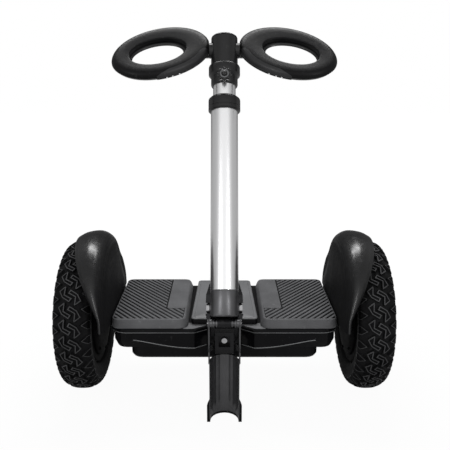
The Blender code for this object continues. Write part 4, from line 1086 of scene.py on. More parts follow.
@dataclass
class FootMat:
    """A rubber foot mat with slanting ribs, a plain rim and a smooth patch at its inner rear."""

    inner_x: float = 58.5
    outer_x: float = 182.5
    front_y: float = -94.5
    back_y: float = 101.0
    base: float = 140.3
    top: float = 155.0
    slope: float = 5.0
    corner: float = 16.0
    least_corner: float = 2.0
    outer_share: float = 0.35
    foot: float = 4.0
    foot_inset: float = 0.2
    shoulder_drop: float = 2.2
    rounding: float = 1.15
    rim: float = 0.9
    rib_height: float = 1.9
    rib_width: float = 4.3
    rib_pitch: float = 7.8
    rib_angle: float = math.radians(51)
    least_rib_area: float = 3.0
    patch: Pair = (97.0, -45.0)
    patch_inset: float = 1.2
    patch_gap: float = 0.8
    patch_corner: float = 3.0
    sunk: float = 0.2
    bed_margin: float = 0.15

    def outline(self, sign: int, inset: float, corner: float, steps: int) -> list[Pair]:
        """Draw the mat's outline moved in, but less so beside the wheel cover.

        Args:
            sign: 1 for the right mat and -1 for the left.
            inset: How far in.
            corner: The radius of its corners.
            steps: How many steps each corner has.

        Returns:
            The outline's points, counter-clockwise.
        """
        low_x, high_x = sorted((sign * self.inner_x, sign * self.outer_x))
        outer = inset * self.outer_share
        low_in, high_in = (outer, inset) if sign < 0 else (inset, outer)
        near = (low_x + low_in, self.front_y + inset)
        far = (high_x - high_in, self.back_y - inset)
        return round_rectangle(near, far, corner, steps)

    def body(self, sign: int) -> bmesh.types.BMesh:
        """Build the mat's block: a rounded slope, a plain rim and the ribs' shallow bed.

        Args:
            sign: 1 for the right mat and -1 for the left.

        Returns:
            A new mesh.
        """
        foot, inset, brim = self.base + self.foot, self.foot_inset, self.slope + 1.4
        rise, shrink = self.top - self.shoulder_drop - foot, self.slope - 1.6
        levels = [(self.base, 0.6), (self.base + 0.6, 0), (foot, inset)]
        for share in (0.25, 0.5, 0.75, 1.0):
            levels.append((foot + rise * share, inset + shrink * share**self.rounding))
        levels += [(self.top - 1.1, brim - 2.15), (self.top - 0.3, brim - 1.05)]
        levels += [(self.top, brim), (self.top, brim + self.rim)]
        levels.append((self.top - self.rib_height, brim + self.rim + 0.4))
        rings = []
        for height, inset in levels:
            corner = max(self.corner - inset, self.least_corner)
            rings.append(laid(self.outline(sign, inset, corner, 9), height))
        return loft(rings)

    def ribbed_field(self, sign: int) -> bmesh.types.BMesh:
        """Lay out the flat ground that the ribs cover, without the smooth patch.

        Args:
            sign: 1 for the right mat and -1 for the left.

        Returns:
            A flat mesh in millimetres.
        """
        inset = self.slope + 2.1 + self.rim
        outline = self.outline(sign, inset, self.corner - inset, 4)
        flat = bmesh.new()
        flat.faces.new([flat.verts.new((x, y, 0)) for x, y in outline])
        edge_x, edge_y = sign * (self.patch[0] + self.patch_gap), self.patch[1] - self.patch_gap
        cut_through(flat, Vector((edge_x, 0, 0)), Vector((1, 0, 0)))
        cut_through(flat, Vector((0, edge_y, 0)), Vector((0, 1, 0)))
        inside = []
        for face in flat.faces:
            middle = face.calc_center_median()
            if abs(middle.x) < abs(edge_x) and middle.y > edge_y:
                inside.append(face)
        bmesh.ops.delete(flat, geom=inside, context="FACES")
        bmesh.ops.dissolve_faces(flat, faces=flat.faces[:])
        return flat

    def ribs(self, sign: int) -> bmesh.types.BMesh:
        """Cut the ribbed ground into slanting bars and raise each with a small chamfer.

        Args:
            sign: 1 for the right mat and -1 for the left.

        Returns:
            A new mesh of separate bars.
        """
        flat = self.ribbed_field(sign)
        across = Vector((-sign * math.sin(self.rib_angle), math.cos(self.rib_angle), 0))
        places = [v.co.dot(across) for v in flat.verts]
        first = math.floor(min(places) / self.rib_pitch)
        last = math.ceil(max(places) / self.rib_pitch)
        for i in range(first, last + 1):
            for edge in (0, self.rib_width):
                cut_through(flat, across * (i * self.rib_pitch + edge), across)
        raised = bmesh.new()
        floor = self.top - self.rib_height - self.sunk
        for face in flat.faces:
            place = face.calc_center_median().dot(across) % self.rib_pitch
            if place > self.rib_width or face.calc_area() < self.least_rib_area:
                continue
            outline = [(v.co.x, v.co.y) for v in face.verts]
            if face.normal.z < 0:
                outline.reverse()
            levels = ((floor, -0.1), (self.top - 0.3, 0.05), (self.top, 0.35))
            rings = [laid(inset_outline(outline, inset), height) for height, inset in levels]
            raised = merged(raised, loft(rings))
        flat.free()
        return raised

    def smooth_patch(self, sign: int) -> bmesh.types.BMesh:
        """Build the plain raised corner beside the console.

        Args:
            sign: 1 for the right mat and -1 for the left.

        Returns:
            A new mesh.
        """
        inset = self.slope + 1.0 + self.rim
        gap = self.patch_inset
        low_x, high_x = sorted((sign * (self.inner_x + inset), sign * (self.patch[0] - gap)))
        floor = self.top - self.rib_height - self.sunk
        rings = []
        for height, shrink in ((floor, 0), (self.top - 0.4, 0.1), (self.top - 0.05, 0.5)):
            near = (low_x + shrink, self.patch[1] + gap + shrink)
            far = (high_x - shrink, self.back_y - inset - shrink)
            rings.append(laid(round_rectangle(near, far, self.patch_corner, 5), height))
        return loft(rings)

    def build(self) -> None:
        bed = (self.top - self.rib_height) * MM
        for side, sign in SIDES:
            whole = merged(self.body(sign), self.ribs(sign), self.smooth_patch(sign))
            finishes = (PAD_RUBBER, PAD_GROOVE_PAINTED_SHADE)
            mat = made_piece(
                f"foot_mat_{side}", whole, finishes, Body.CHASSIS, [f"footpad_{side}"], 30
            )
            # Painted shade on the ribs' bed.
            for face in mat.data.polygons:
                if abs(face.center.z - bed) < self.bed_margin * MM and face.normal.z > 0.9:
                    face.material_index = 1


@dataclass
class Console:
    """The raised panel between the foot mats: a pale top, a painted highlight on its bevel and dark
    sides.

    It narrows towards the rear by the share that taper gives.
    """

    half_width: float = 54.5
    front_y: float = -78.0
    back_y: float = 101.0
    base: float = 141.3
    top: float = 151.2
    corner: float = 7.0
    least_corner: float = 1.2
    taper: float = 0.10
    top_above: float = 0.97
    bevel_above: float = 0.3

    def build(self) -> None:
        """Build the panel in three finishes, one of them a painted highlight on the bevel."""
        top = self.top
        levels = [
            (self.base, 0), (top - 1.6, 0.3), (top - 0.9, 0.6), (top - 0.3, 1.2), (top, 2.1),
            (top, 5.4), (top - 0.6, 5.8), (top - 0.6, 6.6), (top - 0.1, 7.4), (top - 0.1, 30),
        ]
        length = self.back_y - self.front_y
        rings = []
        for height, inset in levels:
            near = (inset - self.half_width, self.front_y + inset)
            far = (self.half_width - inset, self.back_y - inset)
            plain = round_rectangle(near, far, max(self.corner - inset, self.least_corner), 8)
            outline = [(x * (1 - self.taper * (y - self.front_y) / length), y) for x, y in plain]
            rings.append(laid(outline, height))
        finishes = (BODY_PLASTIC, CONSOLE_PLASTIC, PALE_GREY_AND_HIGHLIGHT)
        panel = made_piece(
            "console_cover", loft(rings), finishes, Body.CHASSIS, ["console_panel"], 30
        )
        for face in panel.data.polygons:
            if face.normal.z > self.top_above:
                face.material_index = 1
            # The bevel's pale grey is a painted highlight.
            elif face.normal.z > self.bevel_above:
                face.material_index = 2


@dataclass
class FrontLights:
    """A thin pale bead along the lower edge of each front lens."""

    start_x: float = 146.0
    start_height: float = 122.8
    sag: float = 14.0
    sag_ease: float = 1.2
    front_steps: int = 24
    bay_steps: int = 8
    bay_depth: float = 12.8
    proud: float = 0.1
    radius: float = 0.75

    def run(self, sign: int) -> list[Vector]:
        """List the bead's centre line from its outer end into the bay.

        Args:
            sign: 1 to the right and -1 to the left.

        Returns:
            The points.
        """
        front = BODY_FRONT_Y - self.proud
        points = []
        for i in range(self.front_steps + 1):
            share = i / self.front_steps
            x = self.start_x + (BAY_HALF_WIDTH - self.start_x) * share
            fall = math.sin(share * math.pi / 2) ** self.sag_ease
            points.append((x, front, self.start_height - self.sag * fall))
        for i in range(1, self.bay_steps + 1):
            depth = self.bay_depth * i / self.bay_steps
            x = BAY_HALF_WIDTH - BAY_SLANT * depth
            points.append((x, front + depth, self.start_height - self.sag))
        return [Vector((sign * x, y, z)) for x, y, z in points]

    def build(self) -> None:
        """Build the beads."""
        for side, sign in SIDES:
            bead = swept_bead(self.run(sign), self.radius)
            made_piece(f"lens_edge_bead_{side}", bead, PALE_LENS_BEAD, Body.CHASSIS, sharp=60)


@dataclass
class ShellLip:
    """A painted highlight along the fine edge under the body's lip, and the paler deck beside the
    bay.
    """

    corner_x: float = 156.5
    corner_radius: float = 26.1
    corner_turn: float = math.radians(70)
    corner_steps: int = 8
    front_steps: int = 12
    bay_steps: int = 5
    bay_depth: float = 13.0
    height: float = 135.2
    proud: float = 0.1
    radius: float = 0.55
    deck_front: float = 4.5
    deck_in: float = 24.5
    deck_out: float = 66.0
    deck_back: float = -72.0
    deck_levels: tuple[Pair, ...] = ((-0.4, 0.0), (0.25, 0.0), (0.5, 0.4))

    def edge(self, side: str, sign: int) -> None:
        """Sweep the edge's painted highlight from the body's corner along the front into the bay.

        Args:
            side: The side's name.
            sign: 1 to the right and -1 to the left.
        """
        front, reach = BODY_FRONT_Y - self.proud, self.corner_radius
        points = []
        for i in range(self.corner_steps + 1):
            turn = self.corner_turn * (1 - i / self.corner_steps)
            x = self.corner_x + reach * math.sin(turn)
            points.append((x, front + reach - reach * math.cos(turn)))
        run = BAY_HALF_WIDTH - self.corner_x
        for i in range(1, self.front_steps + 1):
            points.append((self.corner_x + run * i / self.front_steps, front))
        for i in range(1, self.bay_steps + 1):
            depth = self.bay_depth * i / self.bay_steps
            points.append((BAY_HALF_WIDTH - BAY_SLANT * depth, front + depth))
        path = [Vector((sign * x, y, self.height)) for x, y in points]
        # A pale bead as the lip's painted highlight.
        bead = swept_bead(path, self.radius)
        made_piece(f"lip_painted_highlight_{side}", bead, PALE_GREY_AND_HIGHLIGHT, Body.CHASSIS, sharp=60)

    def deck(self, side: str, sign: int) -> None:
        """Lay the paler deck between the bay, the mat and the console.

        Args:
            side: The side's name.
            sign: 1 to the right and -1 to the left.
        """
        front, back = BODY_FRONT_Y + self.deck_front, self.deck_back
        bay_end = front + self.bay_depth
        corner = BAY_HALF_WIDTH - BAY_SLANT * self.bay_depth + 1
        outline = [
            (self.deck_out, front), (BAY_HALF_WIDTH + 2, front), (corner, bay_end),
            (self.deck_in, bay_end + 1), (self.deck_in, back), (self.deck_out, back),
        ]
        if sign > 0:
            outline.reverse()
        rings = []
        for height, inset in self.deck_levels:
            level = [(sign * x, y) for x, y in inset_outline(outline, inset)]
            rings.append(laid(level, SHELL_TOP + height))
        made_piece(f"bay_deck_{side}", loft(rings), CONSOLE_PLASTIC, Body.CHASSIS, sharp=30)

    def build(self) -> None:
        """Build the edge and the deck on both sides of the bay."""
        for side, sign in SIDES:
            self.edge(side, sign)
            self.deck(side, sign)


@dataclass
class LegHinge:
    """The leg's hinge pin with its stepped spacers, and the band round the top of the leg."""

    pin: Vector = field(default_factory=lambda: COLUMN @ moved(0, -3, 0).translation / MM)
    knuckle: float = 10.3
    cheek_in: float = 22.6
    cheek_out: float = 25.0
    leg_radius: float = 23.6
    leg_centre_y: float = -3.0
    band: Pair = (-50.0, -41.0)
    band_sunk: float = 1.1
    band_reach: float = 13.0
    band_steps: int = 20

    def build(self) -> None:
        """Build the pin and the band."""
        start, cheek, end = self.knuckle, self.cheek_in - 0.3, self.cheek_out
        half = [
            (start, 4), (start, 6.2), (start + 0.5, 6.7), (start + 2.6, 6.7), (start + 3, 6.2),
            (start + 3.4, 5), (start + 5, 5), (start + 5.6, 6.8), (start + 7.6, 7),
            (start + 8.2, 6.4), (cheek, 6.2), (cheek, 4), (end + 0.3, 4), (end + 0.3, 5.6),
            (end + 1, 5.4), (end + 1.5, 4.4), (end + 1.5, 0),
        ]
        profile = [(-x, r) for x, r in reversed(half)] + half
        pin = turned(profile, along_x(0, self.pin.z, 1, self.pin.y), 48)
        made_piece("leg_pin", pin, DARK_STEEL, Body.COLUMN, ["hinge_pin"], 32)
        low, high = self.band
        turns = [math.pi * i / self.band_steps for i in range(self.band_steps + 1)]
        round_by = [(math.cos(turn), math.sin(turn)) for turn in turns]
        rings = []
        for height, out in ((low, 0.1), (low + 0.6, 0.9), (high - 0.6, 0.9), (high, 0.3)):
            outer, inner = self.leg_radius + out, self.leg_radius - self.band_sunk
            section = [(outer, -self.band_reach), *((outer * x, outer * y) for x, y in round_by)]
            section += [(-outer, -self.band_reach), (-inner, -self.band_reach)]
            section += [(inner * x, inner * y) for x, y in round_by[::-1]]
            section.append((inner, -self.band_reach))
            ring = [self.pin + Vector((x, y + self.leg_centre_y, height)) for x, y in section]
            rings.append([spot * MM for spot in ring])
        made_piece("leg_band", loft(rings), LEG_METAL, Body.LEG, sharp=40)


@dataclass
class TelescopicColumn:
    """The two silver tubes, the twist collar and the head, measured up the column's own axis."""

    tube: Pair = (50.3, 359.5)
    tube_wall: float = 1.9
    slide: Pair = (120.0, 440.0)
    slide_wall: float = 1.8
    collar: Pair = (339.5, 364.0)
    collar_radius: float = 26.0
    head: Pair = (383.5, 467.0)
    head_radius: float = 21.9
    clamp: Pair = (402.5, 419.0)
    clamp_radius: float = 25.8
    cap_bore: float = 8.0
    sides: int = 96

    def piece(
        self, name: str, profile: Sequence[Pair], finish: Finish, body: Body, node: str
    ) -> None:
        """Turn one piece about the column's axis."""
        made_piece(name, turned(profile, COLUMN, self.sides), finish, body, [node])

    def tubes(self) -> None:
        """Build the outer tube with softly broken ends and the plain inner one."""
        start, end = self.tube
        radius, bore = TUBE_RADIUS, TUBE_RADIUS - self.tube_wall
        outer = [
            (start, bore + 0.3), (start, radius - 0.4), (start + 0.4, radius),
            (end - 0.4, radius), (end, radius - 0.4), (end, bore),
        ]
        self.piece("outer_column_tube", outer, SILVER_TUBE, Body.COLUMN, "outer_tube")
        start, end = self.slide
        radius, bore = SLIDE_RADIUS, SLIDE_RADIUS - self.slide_wall
        inner = [(start, bore), (start, radius), (end, radius), (end, bore)]
        self.piece("inner_column_tube", inner, SILVER_TUBE, Body.MAST, "inner_tube")

    def twist_ring(self) -> None:
        """Build the collar with its rounded shoulders and a shallow groove."""
        start, end, radius = *self.collar, self.collar_radius
        lip, bore, step = TUBE_RADIUS + GAP, SLIDE_RADIUS + GAP, self.tube[1] + GAP
        profile = [
            (start, lip), (start, radius - 2.4), (start + 0.5, radius - 1.4), (start + 2, radius),
            (start + 6, radius), (start + 6.5, radius - 0.6), (start + 7.6, radius - 0.6),
            (start + 8.1, radius), (end - 5, radius), (end - 3.2, radius - 0.6),
            (end - 0.6, radius - 3.4), (end, radius - 4.4), (end, bore), (step, bore), (step, lip),
        ]
        self.piece("collar_ring", profile, HEAD_PLASTIC, Body.COLLAR, "twist_collar")

    def top(self) -> None:
        """Build the head with its clamp band, side bosses and cap."""
        start, end, radius = *self.head, self.head_radius
        low, high, band = *self.clamp, self.clamp_radius
        bore, step = SLIDE_RADIUS + GAP, self.slide[1] + 2 * GAP
        profile = [
            (start, bore), (start, radius - 1.8), (start + 0.7, radius - 0.7),
            (start + 2.4, radius), (low - 3.2, radius), (low - 1.2, band - 1.6),
            (low, band - 0.3), (low + 1, band), (high - 3, band), (high - 1.4, band - 0.7),
            (high, radius + 1), (high + 0.4, radius + 0.2), (end - 0.6, radius),
            (end, radius - 0.6), (end, self.cap_bore), (step, self.cap_bore), (step, bore),
        ]
        boss = [
            (-STUB_REACH, 0), (-STUB_REACH, STUB_RADIUS - 0.8), (0.8 - STUB_REACH, STUB_RADIUS),
            (STUB_REACH - 0.8, STUB_RADIUS), (STUB_REACH, STUB_RADIUS - 0.8), (STUB_REACH, 0),
        ]
        across = COLUMN @ moved(0, 0, HANDLE_AXIS) @ Matrix.Rotation(math.pi / 2, 4, "Y")
        whole = merged(turned(profile, COLUMN, self.sides), turned(boss, across, 64))
        made_piece("column_head", whole, HEAD_PLASTIC, Body.MAST, ["head_clamp"])
        cap = [
            (end + GAP, 0), (end + GAP, radius - 0.3), (end + 0.8, radius),
            (end + 2, radius - 0.4), (end + 3.2, radius - 1.8), (end + 4.4, radius - 5),
            (end + 5, radius - 10), (end + 5.3, 0),
        ]
        self.piece("head_top", cap, HEAD_PLASTIC, Body.MAST, "head_cap")

    def build(self) -> None:
        """Build every piece of the column."""
        self.tubes()
        self.twist_ring()
        self.top()


@dataclass
class ColumnSocket:
    """The smooth black socket that holds the tube's foot."""

    start: float = 9.6
    end: float = 50.1
    radius: float = 22.05

    def build(self) -> None:
        """Turn the socket with a rounded foot and a small lip at its top."""
        r, low, high = self.radius, self.start, self.end
        profile = [
            (low, 0), (low, r - 3.2), (low + 0.5, r - 1.6), (low + 1.5, r - 0.6), (low + 3.2, r),
            (high - 1.2, r), (high - 0.4, r - 0.3), (high, r - 0.9), (high, 0),
        ]
        socket = turned(profile, COLUMN, 96)
        made_piece("column_socket", socket, BLACK_METAL, Body.COLUMN, ["column_base"], 40)


@dataclass
class ClampKnob:
    """The lobed knob on the head's front: a fluted grip, a bright ring and a dark ball.

    The grip's levels are pairs of distance from the head's face and share of the radius.
    """

    height: float = 391.8
    radius: float = 11.8
    face: float = 26.1
    lobes: int = 8
    lobe_steps: int = 12
    flute: float = 0.1
    levels: tuple[Pair, ...] = (
        (0, 0.72), (0.4, 0.8), (2, 0.95), (3.2, 0.985), (6, 1.0), (7.4, 0.98), (8.4, 0.92),
        (9, 0.82), (9, 0.62), (8.3, 0.58),
    )
    round_below: float = 0.7
    ball_start: float = 7.5
    ball_size: Pair = (5.2, 5.1)
    ball_steps: int = 8

    def grip(self) -> bmesh.types.BMesh:
        """Loft the fluted grip.

        Returns:
            A new mesh.
        """
        count = self.lobes * self.lobe_steps
        rings = []
        for depth, scale in self.levels:
            ring = []
            for i in range(count):
                angle = 2 * math.pi * i / count
                wave = self.flute * math.cos(self.lobes * angle) if scale > self.round_below else 0
                r = self.radius * scale * (1 - self.flute + wave)
                across, up = r * math.cos(angle), r * math.sin(angle)
                spot = Vector((across, -self.face - depth, self.height + up))
                ring.append(COLUMN @ (spot * MM))
            rings.append(ring)
        return loft(rings)

    def build(self) -> None:
        """Build the grip with its neck and stud, the ring and the ball."""
        axis = COLUMN @ moved(0, -self.face, self.height) @ Matrix.Rotation(math.pi / 2, 4, "X")
        neck = [(-6, 0), (-6, 6.5), (0.6, 6.5), (0.6, 0)]
        stud = [(-8.5, 0), (-8.5, 2.9), (1, 2.9), (1, 0)]
        grip = merged(self.grip(), turned(neck, axis, 32), turned(stud, axis, 24))
        made_piece("knob_grip", grip, HEAD_PLASTIC, Body.KNOB, ["star_knob"], 32)
        ring = [(8.2, 4.7), (8.2, 7.2), (8.9, 7.2), (9.3, 6.8), (9.3, 5.2), (8.9, 4.7)]
        made_piece("knob_ring", turned(ring, axis, 48), PALE_GREY_AND_HIGHLIGHT, Body.KNOB)
        low, (reach, radius) = self.ball_start, self.ball_size
        turns = [math.pi / 2 * i / self.ball_steps for i in range(self.ball_steps)]
        arc = [(low + reach * math.sin(turn), radius * math.cos(turn)) for turn in turns]
        ball = turned([(low, 0), *arc, (low + reach, 0)], axis, 40)
        made_piece("knob_ball", ball, HEAD_PLASTIC, Body.KNOB, sharp=60)


@dataclass
class RingHandle:
    """A ring handle: a soft pad over a stiff base, with a trim strip that carries three dots.

    Sizes are in the ring's own tilted plane: X out to the side, Y up and back. Sections are pairs
    of share across the ring, 0 at the hand hole and 1 at the outer rim, and height.
    """

    centre: Pair = (104.7, -6.0)
    half_size: Pair = (84.0, 56.0)
    sweep: float = math.radians(-23)
    hole_centre: Pair = (109.5, -10.0)
    hole_half_size: Pair = (47.8, 28.9)
    hole_sweep: float = math.radians(-19)
    inner_pad: tuple[Pair, ...] = (
        (0.03, 0.0), (0.0, 0.5), (-0.005, 5.0), (0.0, 7.6), (0.02, 8.7), (0.07, 9.2), (0.3, 9.75),
    )
    outer_pad: tuple[Pair, ...] = (
        (0.5, 10.0), (0.72, 9.4), (0.88, 7.0), (0.965, 3.6), (0.995, 0.8),
    )
    pad_end: Pair = (0.985, 0.0)
    under: tuple[Pair, ...] = (
        (-0.02, -0.3), (0.97, -0.3), (0.955, -1.4), (0.84, -6.0), (0.75, -6.0), (0.25, -6.0),
        (0.0, -5.7), (-0.1, -4.7), (-0.125, -3.2), (-0.1, -1.6),
    )
    stub_length: float = 24.0
    stub_level: float = -0.35
    strip_span: Pair = (0.575, 0.80)
    strip_width: float = 0.3
    strip_tip: float = 0.12
    strip_over: Pair = (0.012, 0.3)
    strip_below: Pair = (-0.01, -0.6)
    strip_steps: int = 40
    strip_edge: tuple[Pair, ...] = (
        (1.034, 0.9), (1.04, 0.5), (1.04, -2.0), (1.032, -2.4), (1.008, -2.4),
    )
    strip_face_above: float = 0.45
    dot_shares: Triple = (0.729, 0.752, 0.770)
    dot_place: Pair = (1.043, -0.95)
    dot: tuple[Pair, ...] = ((-0.6, 0), (-0.6, 1.3), (0, 1.3), (0.35, 1), (0.5, 0.5), (0.55, 0))
    steps: int = 120
    plane: Matrix = field(init=False)

    def __post_init__(self) -> None:
        """Set the ring's own plane at the head."""
        head = COLUMN @ moved(0, 0, HANDLE_AXIS).translation
        self.plane = Matrix.Translation(head) @ Matrix.Rotation(RING_TILT, 4, "X")

    def plan(self, share: float, across: float) -> Vector:
        """Find a point of the ring's plan.

        Args:
            share: How far round the ring, from 0 to 1.
            across: 0 at the hand hole and 1 at the outer rim.

        Returns:
            The point in the ring's plane.
        """
        angle = 2 * math.pi * share
        ends = []
        for half, sweep, centre in (
            (self.hole_half_size, self.hole_sweep, self.hole_centre),
            (self.half_size, self.sweep, self.centre),
        ):
            x, y = half[0] * math.cos(angle), half[1] * math.sin(angle)
            sine, cosine = math.sin(sweep), math.cos(sweep)
            ends.append(
                Vector((centre[0] + x * cosine - y * sine, centre[1] + x * sine + y * cosine))
            )
        point = ends[0].lerp(ends[1], across)
        return Vector((max(point.x, STUB_REACH + GAP), point.y))

    def section(self, share: float, outline: Sequence[Pair], sign: int) -> list[Vector]:
        """Set a section of the ring in place.

        Args:
            share: How far round the ring, from 0 to 1.
            outline: The section's pairs of share across the ring and height.
            sign: 1 for the right handle and -1 for the left.

        Returns:
            Its points in metres.
        """
        ring = []
        for across, height in outline:
            point = self.plan(share, across)
            ring.append(self.plane @ (Vector((sign * point.x, point.y, height)) * MM))
        return ring

    def swept(self, outline: Sequence[Pair], sign: int) -> bmesh.types.BMesh:
        """Sweep a section round the whole ring."""
        shares = [i / self.steps for i in range(self.steps)]
        return loft([self.section(share, outline, sign) for share in shares], closed=True)

    def stub(self, sign: int) -> bmesh.types.BMesh:
        """Build the lower half of the round stub that joins the base to the head.

        Args:
            sign: 1 for the right handle and -1 for the left.

        Returns:
            A new mesh.
        """
        start, end, r = STUB_REACH + GAP, STUB_REACH + self.stub_length, STUB_RADIUS - GAP
        profile = [
            (start, 0), (start, r - 0.5), (start + 0.5, r), (end - 3, r), (end, r - 3), (end, 0),
        ]
        bm = turned(profile, self.plane @ Matrix.Rotation(sign * math.pi / 2, 4, "Y"), 48)
        level = self.plane @ moved(0, 0, self.stub_level).translation
        cut_through(bm, level, self.plane.to_3x3() @ Vector((0, 0, 1)), keep_below=True)
        bmesh.ops.holes_fill(bm, edges=[e for e in bm.edges if e.is_boundary])
        return bm

    def rim_height(self, across: float) -> float:
        """Say how high the pad's outer slope is.

        Args:
            across: The share across the ring.

        Returns:
            The height.
        """
        for (near, high), (far, low) in zip(self.outer_pad, self.outer_pad[1:]):
            if across <= far + 1e-6:
                return high + (low - high) * (across - near) / (far - near)
        return self.outer_pad[-1][1]

    def strip(self, side: str, sign: int) -> None:
        """Build the trim strip in the pad's near rim.

        Args:
            side: The side's name.
            sign: 1 for the right handle and -1 for the left.
        """
        first, last = self.strip_span
        steps, rim = self.strip_steps, self.outer_pad[-1][0]
        rings = []
        for i in range(steps + 1):
            width = self.strip_width * min(1.0, self.strip_tip + 4 * min(i + 6, steps - i) / steps)
            over, below = [], []
            for k in range(8):
                across = rim - width * (1 - k / 7)
                height = self.rim_height(across)
                over.append((across + self.strip_over[0], height + self.strip_over[1]))
                below.append((across + self.strip_below[0], height + self.strip_below[1]))
            outline = [*over, *self.strip_edge, *below[::-1]]
            rings.append(self.section(first + (last - first) * i / steps, outline, sign))
        finishes, nodes = (HEAD_PLASTIC, TRIM_GREY), [f"trim_strip_{side}"]
        strip = made_piece(f"trim_band_{side}", loft(rings), finishes, Body.MAST, nodes, 40)
        inverse = self.plane.inverted()
        for face in strip.data.polygons:
            if (inverse @ face.center).z > self.strip_face_above * MM:
                face.material_index = 1

    def dots(self, side: str, sign: int) -> None:
        """Set the three pale dots, with a painted glow, on the strip's edge.

        Args:
            side: The side's name.
            sign: 1 for the right handle and -1 for the left.
        """
        reach, height = self.dot_place
        for number, share in enumerate(self.dot_shares, 1):
            inner, outer = self.plan(share, 1.0), self.plan(share, reach)
            out = (outer - inner).normalized()
            centre = self.plane @ (Vector((sign * outer.x, outer.y, height)) * MM)
            normal = self.plane.to_3x3() @ Vector((sign * out.x, out.y, 0))
            turn = normal.to_track_quat("Z", "Y").to_matrix().to_4x4()
            dome = turned(self.dot, Matrix.Translation(centre) @ turn, 20)
            made_piece(f"dot_{side}_{number}", dome, DOT_PAINTED_GLOW, Body.MAST)

    def build(self) -> None:
        crown = [*self.inner_pad, *self.outer_pad, self.pad_end]
        pad = [tuple(p) for p in smooth_through(crown, 3)]
        for side, sign in SIDES:
            ring, nodes = self.swept(pad, sign), [f"grip_pad_{side}"]
            soft = made_piece(f"grip_ring_{side}", ring, SOFT_GRIP, Body.MAST, nodes, 60)
            base, nodes = self.swept(self.under, sign), [f"handle_base_{side}"]
            base = merged(base, self.stub(sign))
            made_piece(f"handle_shell_{side}", base, HEAD_PLASTIC, Body.MAST, nodes, 50)
            self.strip(side, sign)
            self.dots(side, sign)


@dataclass
class CarriedNodes:
    """The frame's own nodes that stay as they are and only get a better material."""

    plain: dict[str, Finish] = field(
        default_factory=lambda: {
            "chassis_frame": CAST_METAL,
            "upper_shell": BODY_PLASTIC,
            "lower_housing": BODY_PLASTIC,
            "power_button": BODY_PLASTIC,
            "tail_lamp": RED_LENS,
            "battery_pack": CELL_WRAP,
            "control_board": CIRCUIT,
            "steering_sensor": CIRCUIT,
            "centring_bush": SOFT_GRIP,
            "charge_cap": SOFT_GRIP,
            "steering_yoke": HINGE_METAL,
            "parking_leg": LEG_METAL,
            "leg_foot": BODY_PLASTIC,
            "slide_bush": NYLON,
        }
    )
    steel: tuple[str, ...] = (
        "steering_shaft", "shaft_bearing_front", "shaft_bearing_rear", "shaft_nut", "yoke_bolt",
        "cross_bolt", "charge_port",
    )
    paired: dict[str, Finish] = field(
        default_factory=lambda: {
            "stator": WINDING,
            "axle": DARK_STEEL,
            "valve": DARK_STEEL,
            "motor_bearing": DARK_STEEL,
            "axle_clamp": DARK_STEEL,
            "front_lens": SMOKED_LENS,
            "foot_sensor": CIRCUIT,
        }
    )

    def dress(self, nodes: dict[str, bpy.types.Object]) -> None:
        """Give each carried node its finish.

        Args:
            nodes: The frame's node objects by name.
        """
        chosen = self.plain | {name: ZINC_STEEL for name in self.steel}
        for name, finish in self.paired.items():
            chosen |= {f"{name}_{side}": finish for side, _ in SIDES}
        for name, finish in chosen.items():
            for slot in nodes[name].material_slots:
                slot.material = finish.made()
            LOG.info("node %s: %s", name, finish.name)


@dataclass(frozen=True)
class Lamp:
    """A soft rectangular lamp.

    Attributes:
        name: The lamp's name.
        place: Where it hangs, in metres.
        size: Its width and height in metres.
        power: Its power in watts.
    """

    name: str
    place: Triple
    size: Pair
    power: float

    def hang(self, aim: Triple) -> None:
        """Hang the lamp.

        Args:
            aim: The point that it faces, in metres.
        """
        data = bpy.data.lights.new(self.name, "AREA")
        data.shape = "RECTANGLE"
        data.size, data.size_y = self.size
        data.energy = self.power
        lamp = bpy.data.objects.new(self.name, data)
        lamp.location = self.place
        way = Vector(aim) - Vector(self.place)
        lamp.rotation_euler = way.to_track_quat("-Z", "Y").to_euler()
        bpy.context.scene.collection.objects.link(lamp)


